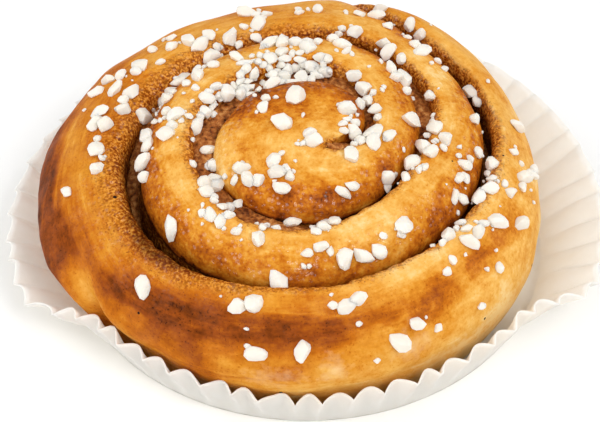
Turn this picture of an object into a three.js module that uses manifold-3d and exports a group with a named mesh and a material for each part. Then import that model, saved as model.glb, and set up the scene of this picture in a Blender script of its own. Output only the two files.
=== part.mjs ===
// A cinnamon bun with pearl sugar, standing in its spread paper case.
// Lengths are in millimetres and angles in degrees. +Z is up and the bun's front looks along -Y.
//
// The dough is one long strip rolled up flat side to flat side. Seen from above, the seam between
// its turns is a spiral that winds anticlockwise outwards. A place on the strip is given by a turning
// angle, which keeps counting past a full turn, and by a share of the way across the strip. What is
// uneven about a real bun is a list of soft spots: where each is, how much it adds and how far it reaches.

import * as THREE from 'three';
import { mergeVertices } from 'three/addons/utils/BufferGeometryUtils.js';
import Module from 'manifold-3d';

// The seam of the roll, about the roll's own centre. At its end it runs out to the outside of the bun.
const ROLL_CENTRE = new THREE.Vector2(-2.1, -6.8);
const SEAM_START = -61;
const SEAM_END = 804;
const SEAM_RADIUS = 13.0;
const SEAM_PITCH = 12.9;
const SEAM_OVAL = 1.9;
const SEAM_OVAL_TOWARDS = 58;
const SEAM_SQUEEZE = 0.95;
const SEAM_SWELLS = [
  { at: -5, extra: 1.8, reach: 28 },
  { at: 85, extra: -1.4, reach: 45 },
  { at: 275, extra: 1.7, reach: 45 },
];
const RUN_OUT = 13.9;
const RUN_OUT_FROM = 765;
const RUN_OUT_OVER = 40;

// The gap that stays open along the seam: a mouth between the lips and a throat below them.
const MOUTH = 0.9;
const WIDE_MOUTHS = [
  { at: -25, extra: 0.5, reach: 20 },
  { at: 75, extra: 1.9, reach: 32 },
  { at: 120, extra: 1.2, reach: 30 },
  { at: 175, extra: 2.0, reach: 32 },
  { at: 250, extra: 1.6, reach: 35 },
  { at: 318, extra: 0.6, reach: 22 },
  { at: 382, extra: 1.2, reach: 18 },
  { at: 515, extra: 0.7, reach: 35 },
  { at: 582, extra: 1, reach: 30 },
  { at: 742, extra: 0.4, reach: 25 },
];
const MOUTH_OPENS_OVER = 18;
const THROAT = 1.05;
const THROAT_DEPTH = 6;

// The bun's outside: a belly, a foot that is tucked under at the left up to a crease, and a domed crown.
const BELLY_CENTRE = new THREE.Vector2(-4.4, -6.15);
const BELLY_RADIUS = 51;
const BELLY_SWELLS = [
  { at: 60, extra: 5.5, reach: 30 },
  { at: 145, extra: -1.0, reach: 25 },
  { at: 235, extra: -1.5, reach: 30 },
];
const BELLY_PASSES = 3;
const BELLY_Z = 17;
const BELLY_SHOULDER = 11;
const SHOULDER_FULLNESS = 2.4;
const FOOT_CENTRE = new THREE.Vector2(-1.15, -5.9);
const FOOT_RADIUS = 48.5;
const FOOT_Z = 10;
const BASE_RADIUS = 44.5;
const BASE_Z = 0.75;
const TUCK_INSET = 6;
const TUCK_AT_FOOT = 0.7;
const TUCK_FROM = 160;
const TUCK_FULL = 197;
const TUCK_TO = 207;
const TUCK_CREASE = 6;
const CROWN_HEIGHT = 39.5;
const CROWN_FALL = 10;
const CROWN_FALL_RADIUS = 43;
const CROWN_RISES = [{ at: 60, extra: 2.4, reach: 36 }];

// The lips of the strip, which round over into the seam. A narrow stretch of the strip has smaller ones.
const OUTER_LIP_ACROSS = 6.5;
const OUTER_LIP_DROP = 5.0;
const INNER_LIP_ACROSS = 3.0;
const INNER_LIP_DROP = 2.2;
const FULL_WIDTH = 10;
const HIGH_LIPS = [
  { at: 50, extra: 3.0, reach: 110 },
  { at: 180, extra: 1.9, reach: 55 },
  { at: 260, extra: 1.4, reach: 45 },
  { at: 480, extra: 1.8, reach: 60 },
];
const SLOPES = [
  { at: 835, extra: 2.8, reach: 35 },
  { at: 885, extra: 4.6, reach: 48 },
  { at: 1060, extra: 1.2, reach: 30 },
  { at: 1118, extra: 3.4, reach: 34 },
];
const SLOPE_FALL = 0.7;
const SLOPE_ROOM = 0.4;
const SHOULDER_ROOM = 0.55;

// Along the last turn the outer lip becomes the belly. The strip ends a little short of a full turn more,
// and the foot of its tail lifts off the paper.
const SIDE_FROM = SEAM_END - 20;
const SIDE_OVER = 35;
const LEAST_WALL = 0.5;
const STRIP_END = SEAM_END + 356;
const TAIL_FROM = STRIP_END - 40;
const TAIL_LIFT = 3;
const STRIP_STEP = 9;
const LIP_POINTS = 5;

// The cinnamon filling, a ribbon that stands in the seam. It is cut at the same turning angles as the
// dough, so that its sides keep an even clearance from the walls of the seam.
const FILLING_FROM = SEAM_START + 3 * STRIP_STEP;
const FILLING_TO = SEAM_START + 94 * STRIP_STEP;
const FILLING_SINK = 0.9;
const FILLING_HOLLOWS = [
  { at: -48, extra: -1.3, reach: 22 },
  { at: 308, extra: 3.6, reach: 30 },
  { at: 586, extra: 11, reach: 34 },
  { at: 650, extra: 4, reach: 40 },
  { at: 712, extra: 6, reach: 32 },
  { at: 748, extra: 3, reach: 22 },
];
const FILLING_SHOULDER = 0.7;
const FILLING_CLEARANCE = 0.35;

// The pearl sugar, which was thrown on by the handful. Each handful covers a stretch of the strip, from
// one turning angle to another and from one share of the way across to another.
const MIXED = { least: 1.7, spread: 2.2, skew: 1.3 };
const COARSE = { least: 3.5, spread: 0.9, skew: 1 };
const HANDFULS = [
  { name: 'start of the roll', turns: [-22, 50], shares: [0.42, 0.95], grains: 8, sizes: MIXED },
  { name: 'back of the hook', turns: [112, 155], shares: [0.7, 0.98], grains: 4, sizes: MIXED },
  { name: 'crest of the hook', turns: [104, 110], shares: [0.65, 0.7], grains: 1, sizes: COARSE },
  { name: 'middle of the hook', turns: [155, 165], shares: [0.45, 0.5], grains: 1, sizes: COARSE },
  { name: 'top of the hook', turns: [125, 236], shares: [0.1, 0.25], grains: 3, sizes: MIXED },
  { name: 'lower left of the hook', turns: [224, 258], shares: [0.5, 1], grains: 9, sizes: MIXED },
  { name: 'front of the hook', turns: [290, 304], shares: [0.66, 0.84], grains: 2, sizes: MIXED },
  { name: 'below the start', turns: [303, 324], shares: [0.34, 0.46], grains: 2, sizes: COARSE },
  { name: 'right of the start', turns: [314, 350], shares: [0.06, 0.47], grains: 6, sizes: MIXED },
  { name: 'right lip of the hook', turns: [318, 330], shares: [0.94, 1], grains: 2, sizes: MIXED },
  { name: 'right crest of the hook', turns: [364, 370], shares: [0.76, 0.8], grains: 1, sizes: COARSE },
  { name: 'across from the start', turns: [360, 412], shares: [-0.05, 0.14], grains: 6, sizes: MIXED },
  { name: 'right lip of the second turn', turns: [388, 406], shares: [0.72, 0.97], grains: 4, sizes: MIXED },
  { name: 'heap in the back seam', turns: [428, 500], shares: [-0.1, 0.12], grains: 22, sizes: MIXED },
  { name: 'back of the second turn', turns: [424, 470], shares: [0.33, 0.8], grains: 9, sizes: MIXED },
  { name: 'back left of the second turn', turns: [482, 550], shares: [0.4, 0.7], grains: 9, sizes: MIXED },
  { name: 'heap in the left seam', turns: [500, 540], shares: [-0.1, 0.16], grains: 11, sizes: MIXED },
  { name: 'left lip of the second turn', turns: [500, 560], shares: [0.8, 0.98], grains: 9, sizes: MIXED },
  { name: 'lower left seam', turns: [562, 622], shares: [-0.08, 0.2], grains: 10, sizes: MIXED },
  { name: 'lower left of the second turn', turns: [584, 616], shares: [0.35, 0.5], grains: 5, sizes: MIXED },
  { name: 'lower left lip', turns: [582, 587], shares: [0.89, 0.93], grains: 1, sizes: COARSE },
  { name: 'front lip of the second turn', turns: [624, 628], shares: [0.95, 0.98], grains: 1, sizes: COARSE },
  { name: 'front of the second turn', turns: [630, 670], shares: [0.5, 0.87], grains: 9, sizes: MIXED },
  { name: 'front seam', turns: [632, 650], shares: [-0.08, 0.25], grains: 3, sizes: MIXED },
  { name: 'inner right of the turn', turns: [674, 745], shares: [-0.08, 0.36], grains: 12, sizes: MIXED },
  { name: 'outer right of the turn', turns: [686, 742], shares: [0.74, 1], grains: 8, sizes: MIXED },
  { name: 'back right of the third turn', turns: [753, 796], shares: [0.4, 0.72], grains: 8, sizes: MIXED },
  { name: 'back right seam', turns: [766, 798], shares: [0, 0.13], grains: 6, sizes: MIXED },
  { name: 'back right lip', turns: [1134, 1150], shares: [0.05, 0.13], grains: 3, sizes: MIXED },
  { name: 'back edge', turns: [802, 828], shares: [0.24, 0.55], grains: 6, sizes: MIXED },
  { name: 'back lip of the outer turn', turns: [814, 850], shares: [0.03, 0.28], grains: 10, sizes: MIXED },
  { name: 'back left crest', turns: [846, 880], shares: [0.22, 0.62], grains: 11, sizes: MIXED },
  { name: 'left crest', turns: [874, 911], shares: [0.17, 0.45], grains: 9, sizes: MIXED },
  { name: 'left seam', turns: [862, 892], shares: [-0.06, 0.12], grains: 4, sizes: MIXED },
  { name: 'left side', turns: [912, 918], shares: [0.6, 0.65], grains: 1, sizes: MIXED },
  { name: 'front left crest', turns: [948, 954], shares: [0.57, 0.63], grains: 1, sizes: COARSE },
  { name: 'left of the front crest', turns: [974, 979], shares: [0.2, 0.46], grains: 2, sizes: COARSE },
  { name: 'front wall', turns: [980, 992], shares: [0.84, 0.96], grains: 2, sizes: COARSE },
  { name: 'front crest', turns: [997, 1008], shares: [0.33, 0.42], grains: 3, sizes: MIXED },
  { name: 'front right wall', turns: [1010, 1050], shares: [0.78, 0.99], grains: 5, sizes: MIXED },
  { name: 'front right crest', turns: [1022, 1056], shares: [0.05, 0.62], grains: 11, sizes: MIXED },
  { name: 'right shoulder', turns: [1060, 1064], shares: [0.75, 0.79], grains: 1, sizes: COARSE },
  { name: 'right of the outer turn', turns: [1066, 1096], shares: [0.34, 0.95], grains: 9, sizes: MIXED },
  { name: 'right seam', turns: [1060, 1080], shares: [-0.06, 0.12], grains: 5, sizes: MIXED },
  { name: 'far right seam', turns: [1106, 1113], shares: [-0.07, -0.03], grains: 2, sizes: MIXED },
  { name: 'top of the heap', turns: [444, 488], shares: [0.1, 0.32], grains: 12, sizes: MIXED },
];
const GRAIN_SEED = 2024;
const GRAIN_CROWDING = 0.62;
const GRAIN_TRIES = 8;
const GRAIN_UPRIGHT = 0.6;
const GRAIN_LENGTH = 1.2;
const GRAIN_WIDTH = 0.95;
const GRAIN_HEIGHT = 0.75;
const GRAIN_TOP = 0.72;
const GRAIN_RISE = 0.17;
const GRAIN_JITTER = 0.16;
const SMALLEST_FUSED = 2.6;

// The space that a grain needs on its way past the filling, as shares of its size.
const GRAIN_REACH = 0.7;
const GRAIN_DEPTH = 0.4;
const FILLING_END_ROOM = 20;

// The paper case.
const CASE_CENTRE = new THREE.Vector2(-0.4, -3.35);
const CASE_BASE_RADIUS = 49;
const CASE_WALL = 15.6;
const CASE_FRONT = 272;
const CASE_FRONT_LEAN = 22;
const CASE_SIDE_LEAN = 56;
const CASE_LEAN_FROM = 50;
const CASE_LEAN_OVER = 20;
const CASE_DENTS = [{ at: 150, extra: -26, reach: 20 }];
const CASE_DIPS = [{ at: 268, extra: -3.6, reach: 18 }];
const CASE_PLEATS = 58;
const CASE_PLEAT_DEPTH = 1.15;
const CASE_THICKNESS = 0.4;
const CASE_ROWS = [0, 0.5, 1];

const radians = THREE.MathUtils.degToRad;
const lerp = THREE.MathUtils.lerp;
const clamp = THREE.MathUtils.clamp;

function smooth(value) {
  const share = clamp(value, 0, 1);
  return share * share * (3 - 2 * share);
}

// The sum of soft spots at a value.
function bells(value, spots) {
  const bell = (spot) => spot.extra * Math.exp(-(((value - spot.at) / spot.reach) ** 2));
  return spots.reduce((sum, spot) => sum + bell(spot), 0);
}

// The same round the compass, where 359 is next to 1.
function compassBells(compass, spots) {
  const turned = (spot) => THREE.MathUtils.euclideanModulo(compass - spot.at + 180, 360) - 180;
  return spots.reduce((sum, spot) => sum + bells(turned(spot), [{ ...spot, at: 0 }]), 0);
}

function direction(angle) {
  return new THREE.Vector2(Math.cos(radians(angle)), Math.sin(radians(angle)));
}

function onRoll(turn, radius) {
  return direction(turn).multiplyScalar(radius).add(ROLL_CENTRE);
}

function lift(point, z) {
  return new THREE.Vector3(point.x, point.y, z);
}

// How far the seam lies from the roll's centre at a turning angle.
function seamRadius(turn) {
  const even = SEAM_RADIUS + (SEAM_PITCH * turn) / 360;
  const oval = SEAM_OVAL * Math.cos(2 * radians(turn - SEAM_OVAL_TOWARDS));
  const squeeze = SEAM_SQUEEZE * Math.sin(radians(turn / 2));
  const runOut = Math.max(0, turn - RUN_OUT_FROM) / RUN_OUT_OVER;
  return even + oval - squeeze + bells(turn, SEAM_SWELLS) + RUN_OUT * runOut * runOut;
}

function openShare(turn) {
  return smooth((turn - SEAM_START) / MOUTH_OPENS_OVER);
}

function mouth(turn) {
  return (MOUTH + bells(turn, WIDE_MOUTHS)) * openShare(turn);
}

function throat(turn) {
  return THROAT * openShare(turn);
}

// How far a circle lies from the roll's centre in a compass direction.
function reach(turn, centre, radius) {
  const offset = centre.clone().sub(ROLL_CENTRE);
  const along = offset.dot(direction(turn));
  return along + Math.sqrt(radius ** 2 - offset.lengthSq() + along * along);
}

function compassFromBelly(point) {
  return THREE.MathUtils.radToDeg(point.clone().sub(BELLY_CENTRE).angle());
}

// The belly is a circle with a few soft swells and hollows.
function bellyRadius(point) {
  return BELLY_RADIUS + compassBells(compassFromBelly(point), BELLY_SWELLS);
}

function bellyReach(turn) {
  let out = reach(turn, BELLY_CENTRE, BELLY_RADIUS);
  for (let pass = 0; pass < BELLY_PASSES; pass += 1) {
    out = reach(turn, BELLY_CENTRE, bellyRadius(onRoll(turn, out)));
  }
  return out;
}

// The dome that the tops of the turns follow: a shallow crown with a round shoulder down to the belly.
function domeHeight(point) {
  const away = point.distanceTo(BELLY_CENTRE);
  const fall = CROWN_FALL - compassBells(compassFromBelly(point), CROWN_RISES);
  const crown = CROWN_HEIGHT - fall * (away / CROWN_FALL_RADIUS) ** 2;
  const over = clamp(1 - (bellyRadius(point) - away) / BELLY_SHOULDER, 0, 1);
  const share = (1 - over ** SHOULDER_FULLNESS) ** (1 / SHOULDER_FULLNESS);
  return BELLY_Z + (crown - BELLY_Z) * share;
}

// How far a rounded lip has dropped at a distance from its edge.
function lipDrop(lip, fromEdge) {
  const over = lip.across > 0 ? clamp(1 - fromEdge / lip.across, 0, 1) : 0;
  return lip.drop * (1 - Math.sqrt(1 - over * over));
}

function footTuck(turn) {
  const compass = THREE.MathUtils.euclideanModulo(turn, 360);
  const into = smooth((compass - TUCK_FROM) / (TUCK_FULL - TUCK_FROM));
  const outOf = 1 - smooth((compass - TUCK_TO) / TUCK_CREASE);
  return TUCK_INSET * into * outOf;
}

// One cut across the strip: where its walls and lips stand, and how much its lips round over.
function cut(turn) {
  const innerTurn = turn - 360;
  const hasInnerSeam = innerTurn >= SEAM_START;
  const hasOuterSeam = turn < SEAM_END;
  const side = smooth((turn - SIDE_FROM) / SIDE_OVER);
  const pole = onRoll(SEAM_START, seamRadius(SEAM_START));
  const lipIn = hasInnerSeam ? onRoll(turn, seamRadius(innerTurn) + mouth(innerTurn)) : pole;
  const throatIn = hasInnerSeam ? onRoll(turn, seamRadius(innerTurn) + throat(innerTurn)) : pole;
  const belly = bellyReach(turn);
  const lipOut = onRoll(turn, hasOuterSeam ? Math.min(seamRadius(turn) - mouth(turn), belly) : belly);
  const seamOut = hasOuterSeam ? Math.min(seamRadius(turn) - throat(turn), belly) : belly;
  const width = lipIn.distanceTo(lipOut);
  const least = side > 0 ? throatIn.distanceTo(ROLL_CENTRE) + LEAST_WALL : 0;
  const foot = reach(turn, FOOT_CENTRE, FOOT_RADIUS - TUCK_AT_FOOT * footTuck(turn));
  const base = reach(turn, FOOT_CENTRE, BASE_RADIUS - footTuck(turn));
  const innerOpen = hasInnerSeam ? openShare(innerTurn) : 0;
  const room = Math.min(1, width / FULL_WIDTH);
  const slope = bells(turn, SLOPES);
  const innerLip = {
    across: Math.min((INNER_LIP_ACROSS + slope) * room, SLOPE_ROOM * width) * innerOpen,
    drop: (INNER_LIP_DROP + SLOPE_FALL * slope) * innerOpen,
  };
  const outerLip = {
    across: Math.min(OUTER_LIP_ACROSS * room, SHOULDER_ROOM * width),
    drop: (OUTER_LIP_DROP - bells(turn, HIGH_LIPS)) * room * (1 - side),
  };
  const innerEdge = domeHeight(lipIn) - innerLip.drop;
  const outerEdge = domeHeight(lipOut) - outerLip.drop;
  return {
    lipIn,
    lipOut,
    width,
    innerLip,
    outerLip,
    innerEdge,
    outerEdge,
    roundOut: Math.min(lerp(OUTER_LIP_ACROSS, BELLY_SHOULDER, side), SHOULDER_ROOM * width),
    throatIn,
    throatInZ: innerEdge - THROAT_DEPTH,
    throatOut: onRoll(turn, Math.max(lerp(seamOut, foot, side), least)),
    throatOutZ: lerp(outerEdge - THROAT_DEPTH, FOOT_Z, side),
    footOut: onRoll(turn, Math.max(lerp(seamOut, base, side), least)),
    footZ: BASE_Z + TAIL_LIFT * smooth((turn - TAIL_FROM) / (STRIP_END - TAIL_FROM)),
  };
}

// A place on the top of the strip, at a share of the way across from the inner lip to the outer lip.
function topPoint(section, share) {
  const point = section.lipIn.clone().lerp(section.lipOut, share);
  const innerDrop = lipDrop(section.innerLip, share * section.width);
  const outerDrop = lipDrop(section.outerLip, (1 - share) * section.width);
  return lift(point, domeHeight(point) - innerDrop - outerDrop);
}

// The ring of points round one cut, from the inner foot over the top to the outer foot.
function cutRing(section) {
  const width = Math.max(section.width, 1e-6);
  const shares = [];
  for (let step = 0; step < LIP_POINTS; step += 1) {
    const swing = radians((90 * step) / (LIP_POINTS - 1));
    shares.push((section.innerLip.across * (1 - Math.cos(swing))) / width);
  }
  const flatFrom = section.innerLip.across / width;
  const flatTo = 1 - section.roundOut / width;
  shares.push(lerp(flatFrom, flatTo, 1 / 3), lerp(flatFrom, flatTo, 2 / 3));
  for (let step = 0; step < LIP_POINTS; step += 1) {
    const swing = radians((90 * step) / (LIP_POINTS - 1));
    shares.push(1 - (section.roundOut * (1 - Math.sin(swing))) / width);
  }
  return [
    lift(section.throatIn, section.footZ),
    lift(section.throatIn, section.throatInZ),
    ...shares.map((share) => topPoint(section, share)),
    lift(section.throatOut, section.throatOutZ),
    lift(section.footOut, section.footZ),
  ];
}

// Joins rings of equal length into a closed skin. A ring that has shrunk to a line needs no cap.
// The quads of the first rows, up to the turning row, are split along the other diagonal, so that the two
// faces of a thin wall that goes up and comes down again are split alike.
function skinOfRings(rings, capStart, capEnd, turningRow = 0) {
  const corners = [];
  const count = rings[0].length;
  const triangle = (a, b, c) => corners.push(a, b, c);
  for (let i = 0; i + 1 < rings.length; i += 1) {
    for (let j = 0; j < count; j += 1) {
      const next = (j + 1) % count;
      const [here, there] = [rings[i], rings[i + 1]];
      if (i < turningRow) {
        triangle(here[j], there[j], here[next]);
        triangle(here[next], there[j], there[next]);
      } else {
        triangle(here[j], there[j], there[next]);
        triangle(here[j], there[next], here[next]);
      }
    }
  }
  const cap = (ring, turned) => {
    const middle = new THREE.Vector3();
    ring.forEach((corner) => middle.addScaledVector(corner, 1 / count));
    for (let j = 0; j < count; j += 1) {
      const next = (j + 1) % count;
      triangle(middle, ring[turned ? next : j], ring[turned ? j : next]);
    }
  };
  if (capStart) {
    cap(rings[0], false);
  }
  if (capEnd) {
    cap(rings[rings.length - 1], true);
  }
  return new THREE.BufferGeometry().setFromPoints(corners);
}

// A geometry with one vertex per corner point and without the triangles that have no area.
function welded(geometry) {
  geometry.deleteAttribute('normal');
  geometry.deleteAttribute('uv');
  const merged = mergeVertices(geometry, 1e-3);
  const kept = [];
  const index = merged.index.array;
  for (let i = 0; i < index.length; i += 3) {
    const [a, b, c] = [index[i], index[i + 1], index[i + 2]];
    if (a !== b && b !== c && c !== a) {
      kept.push(a, b, c);
    }
  }
  merged.setIndex(kept);
  return merged;
}

function doughGeometry() {
  const rings = [];
  for (let turn = SEAM_START; turn < STRIP_END; turn += STRIP_STEP) {
    rings.push(cutRing(cut(turn)));
  }
  rings.push(cutRing(cut(STRIP_END)));
  return welded(skinOfRings(rings, false, true));
}

// The filling stands a little under the middle of its two lips, and deeper where the seam is hollow.
function fillingTop(turn) {
  const lips = (cut(turn).outerEdge + cut(turn + 360).innerEdge) / 2;
  return lips - FILLING_SINK - bells(turn, FILLING_HOLLOWS);
}

// How wide the filling is on one side of the seam, at a depth below the lip there.
function fillingHalf(turn, depth) {
  return lerp(mouth(turn), throat(turn), clamp(depth / THROAT_DEPTH, 0, 1)) - FILLING_CLEARANCE;
}

// The ring of points round one cut across the filling, from the inner foot over the top to the outer foot.
function fillingRing(turn) {
  const top = fillingTop(turn);
  const shoulder = top - FILLING_SHOULDER;
  const sideOf = (lip, sign) => {
    const waist = Math.min(lip - THROAT_DEPTH, shoulder - FILLING_SHOULDER);
    return [shoulder, waist, BASE_Z].map((z) =>
      lift(onRoll(turn, seamRadius(turn) + sign * fillingHalf(turn, lip - z)), z),
    );
  };
  const inner = sideOf(cut(turn).outerEdge, -1);
  const outer = sideOf(cut(turn + 360).innerEdge, 1);
  return [...inner.reverse(), lift(onRoll(turn, seamRadius(turn)), top), ...outer];
}

function fillingGeometry() {
  const rings = [];
  for (let turn = FILLING_FROM; turn <= FILLING_TO; turn += STRIP_STEP) {
    rings.push(fillingRing(turn));
  }
  return welded(skinOfRings(rings, true, true));
}

// A small repeatable source of random numbers from 0 to 1.
function randomFrom(seed) {
  let state = seed;
  return () => {
    state = (state * 1664525 + 1013904223) % 4294967296;
    return state / 4294967296;
  };
}

// Every grain of sugar as a place, a normal, a size, a spin and a seed for its shape.
function sugarGrains() {
  const random = randomFrom(GRAIN_SEED);
  const grains = [];
  for (const { turns, shares, grains: count, sizes } of HANDFULS) {
    for (let thrown = 0; thrown < count; thrown += 1) {
      const size = sizes.least + sizes.spread * random() ** sizes.skew;
      const spin = 360 * random();
      const seed = Math.floor(1e6 * random());
      for (let attempt = 0; attempt < GRAIN_TRIES; attempt += 1) {
        const turn = lerp(...turns, random());
        const share = lerp(...shares, random());
        const place = topPoint(cut(turn), share);
        const crowded = (other) =>
          other.place.distanceTo(place) < 0.5 * GRAIN_CROWDING * (other.size + size);
        if (!grains.some(crowded)) {
          grains.push({ turn, share, size, spin, seed, place, normal: topNormal(turn, share) });
          break;
        }
      }
    }
  }
  return grains;
}

// The direction out of the top, eased towards upright, as a grain that lies on a lip does.
function topNormal(turn, share) {
  const along = topPoint(cut(turn + 0.5), share).sub(topPoint(cut(turn - 0.5), share));
  const across = topPoint(cut(turn), share + 0.01).sub(topPoint(cut(turn), share - 0.01));
  const normal = across.cross(along).normalize();
  return normal.add(new THREE.Vector3(0, 0, GRAIN_UPRIGHT)).normalize();
}

// A grain is a chipped, flat-topped lump that is sunk a little into the crust.
function grainGeometry(grain) {
  const random = randomFrom(grain.seed);
  const sides = random() < 0.5 ? 5 : 6;
  const lump = welded(new THREE.CylinderGeometry(0.5 * GRAIN_TOP, 0.5, GRAIN_HEIGHT, sides));
  const spots = lump.rotateX(Math.PI / 2).getAttribute('position');
  const squash = new THREE.Vector3(GRAIN_LENGTH, GRAIN_WIDTH, 1);
  const stand = new THREE.Quaternion().setFromUnitVectors(new THREE.Vector3(0, 0, 1), grain.normal);
  const spin = new THREE.Quaternion().setFromAxisAngle(new THREE.Vector3(0, 0, 1), radians(grain.spin));
  for (let i = 0; i < spots.count; i += 1) {
    const corner = new THREE.Vector3().fromBufferAttribute(spots, i);
    corner.multiplyScalar(1 + GRAIN_JITTER * (2 * random() - 1)).multiply(squash);
    corner.applyQuaternion(spin).applyQuaternion(stand).multiplyScalar(grain.size);
    corner.add(grain.place).addScaledVector(grain.normal, GRAIN_RISE * grain.size);
    spots.setXYZ(i, corner.x, corner.y, corner.z);
  }
  return lump;
}

// Whether a grain keeps off the filling, on either side of it or above it.
function clearOfFilling(grain) {
  const radius = new THREE.Vector2(grain.place.x, grain.place.y).distanceTo(ROLL_CENTRE);
  const low = grain.place.z - GRAIN_DEPTH * grain.size;
  return [grain.turn - 360, grain.turn].every((turn) => {
    if (turn < FILLING_FROM - FILLING_END_ROOM || turn > FILLING_TO + FILLING_END_ROOM) {
      return true;
    }
    const widest = Math.max(mouth(turn), throat(turn));
    const beside = Math.abs(radius - seamRadius(turn)) - GRAIN_REACH * grain.size - widest;
    return beside > 0 || low - fillingTop(turn) > FILLING_CLEARANCE;
  });
}

function solidOf(geometry) {
  return new wasm.Manifold(
    new wasm.Mesh({
      numProp: 3,
      vertProperties: geometry.getAttribute('position').array,
      triVerts: new Uint32Array(geometry.index.array),
    }),
  );
}

// The dough and the larger grains as one body, without loose scraps and sealed pockets.
function sugaredDoughGeometry() {
  let solid = solidOf(outward(doughGeometry()));
  for (const grain of sugarGrains()) {
    if (grain.size >= SMALLEST_FUSED && clearOfFilling(grain)) {
      solid = solid.add(solidOf(outward(grainGeometry(grain))));
    }
  }
  const bodies = solid.decompose();
  const largest = bodies.reduce((best, body) => (body.volume() > best.volume() ? body : best));
  const { vertProperties, triVerts } = largest.getMesh();
  const geometry = new THREE.BufferGeometry();
  geometry.setAttribute('position', new THREE.BufferAttribute(vertProperties, 3));
  geometry.setIndex(new THREE.BufferAttribute(triVerts, 1));
  return geometry;
}

function caseLean(compass) {
  const away = Math.abs(THREE.MathUtils.euclideanModulo(compass - CASE_FRONT + 180, 360) - 180);
  const lean = lerp(CASE_FRONT_LEAN, CASE_SIDE_LEAN, smooth((away - CASE_LEAN_FROM) / CASE_LEAN_OVER));
  return lean + compassBells(compass, CASE_DENTS);
}

// The case as a stack of pleated rings: up the outside, over the rim and down the inside.
function caseGeometry() {
  const samples = 2 * CASE_PLEATS;
  const ring = (row, inside) => {
    const points = [];
    for (let sample = 0; sample < samples; sample += 1) {
      const compass = (360 * sample) / samples;
      const lean = radians(caseLean(compass));
      const wall = CASE_WALL + compassBells(compass, CASE_DIPS);
      const pleat = (sample % 2 === 0 ? 1 : -1) * CASE_PLEAT_DEPTH * row;
      const off = pleat - (inside ? CASE_THICKNESS : 0);
      const radius = CASE_BASE_RADIUS + row * wall * Math.sin(lean) + off * Math.cos(lean);
      const z = row * wall * Math.cos(lean) - off * Math.sin(lean);
      const floor = inside ? CASE_THICKNESS : 0;
      const point = direction(compass).multiplyScalar(radius).add(CASE_CENTRE);
      points.push(lift(point, row === 0 ? floor : z));
    }
    return points;
  };
  const flat = (z) => Array.from({ length: samples }, () => lift(CASE_CENTRE, z));
  const outside = CASE_ROWS.map((row) => ring(row, false));
  const inside = CASE_ROWS.map((row) => ring(row, true)).reverse();
  const rings = [flat(0), ...outside, ...inside, flat(CASE_THICKNESS)];
  return welded(skinOfRings(rings, false, false, CASE_ROWS.length));
}

function outward(geometry) {
  const index = geometry.index.array;
  const spot = geometry.getAttribute('position');
  const corner = (i) => new THREE.Vector3().fromBufferAttribute(spot, index[i]);
  let volume = 0;
  for (let i = 0; i < index.length; i += 3) {
    volume += corner(i).dot(corner(i + 1).cross(corner(i + 2))) / 6;
  }
  if (volume < 0) {
    const turned = Array.from(index);
    for (let i = 0; i < turned.length; i += 3) {
      [turned[i + 1], turned[i + 2]] = [turned[i + 2], turned[i + 1]];
    }
    geometry.setIndex(turned);
  }
  return geometry;
}

function meshOf(name, geometry, look) {
  const mesh = new THREE.Mesh(outward(geometry), new THREE.MeshStandardMaterial(look));
  mesh.geometry.computeVertexNormals();
  mesh.name = name;
  return mesh;
}

const wasm = await Module();
wasm.setup();

const group = new THREE.Group();
group.add(
  meshOf('dough', sugaredDoughGeometry(), { color: 0xd08a3c, roughness: 0.45, metalness: 0 }),
  meshOf('filling', fillingGeometry(), { color: 0x6b4424, roughness: 0.5, metalness: 0 }),
  meshOf('paper_case', caseGeometry(), { color: 0xf0e9df, roughness: 0.9, metalness: 0 }),
);

export default group;
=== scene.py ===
# %% [markdown]
# # A cinnamon bun in its paper case
# A strip of yeast dough is spread with cinnamon filling, rolled up, brushed with egg, strewn with pearl
# sugar and baked in a pleated paper case. The solid model of the bun is already packed, with its true size
# and place. This lesson loads it as a fixed frame, in metres, and gives each of its pieces a finer skin and
# a finish of its own: the dough, the filling in its seam, the sugar and the paper.

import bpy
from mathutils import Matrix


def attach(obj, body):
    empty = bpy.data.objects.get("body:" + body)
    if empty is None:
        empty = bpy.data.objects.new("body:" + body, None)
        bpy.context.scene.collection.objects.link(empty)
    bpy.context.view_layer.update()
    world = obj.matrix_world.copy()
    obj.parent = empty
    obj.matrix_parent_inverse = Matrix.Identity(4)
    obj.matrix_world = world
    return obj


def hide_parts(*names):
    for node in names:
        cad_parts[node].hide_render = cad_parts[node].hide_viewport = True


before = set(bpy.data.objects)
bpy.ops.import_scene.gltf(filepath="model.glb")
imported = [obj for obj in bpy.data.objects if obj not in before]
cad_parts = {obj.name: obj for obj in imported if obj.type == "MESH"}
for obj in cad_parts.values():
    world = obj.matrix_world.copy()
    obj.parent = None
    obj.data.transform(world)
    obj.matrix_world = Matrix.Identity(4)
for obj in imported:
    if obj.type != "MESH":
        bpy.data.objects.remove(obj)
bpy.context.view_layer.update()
print("nodes:", sorted(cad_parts))

# %% Units and small helpers
import math
from collections import namedtuple

import bmesh
import bpy
import numpy as np
from mathutils import Euler, Vector, noise

MM = 0.001
TINY = 1e-9


def in_mm(length):
    return round(float(length) / MM, 1)


def rise(value, start, over):
    """A soft step from 0 to 1 that begins at a start and is done after a stretch."""
    share = np.clip((value - start) / over, 0, 1)
    return share * share * (3 - 2 * share)


def lerp(start, end, share):
    return start + (end - start) * share


def bell(value, at, reach):
    """A soft bump that is 1 at its place and fades to nothing past its reach."""
    return np.exp(-(((value - at) / reach) ** 2))


def bells(value, spots):
    """The sum of soft bumps, each given by its place, its height and its reach."""
    return sum(height * bell(value, at, reach) for at, height, reach in spots)


def past(compass, at):
    """How many degrees one compass direction lies past another, from -180 to 180."""
    return (compass - at + 180) % 360 - 180


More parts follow.
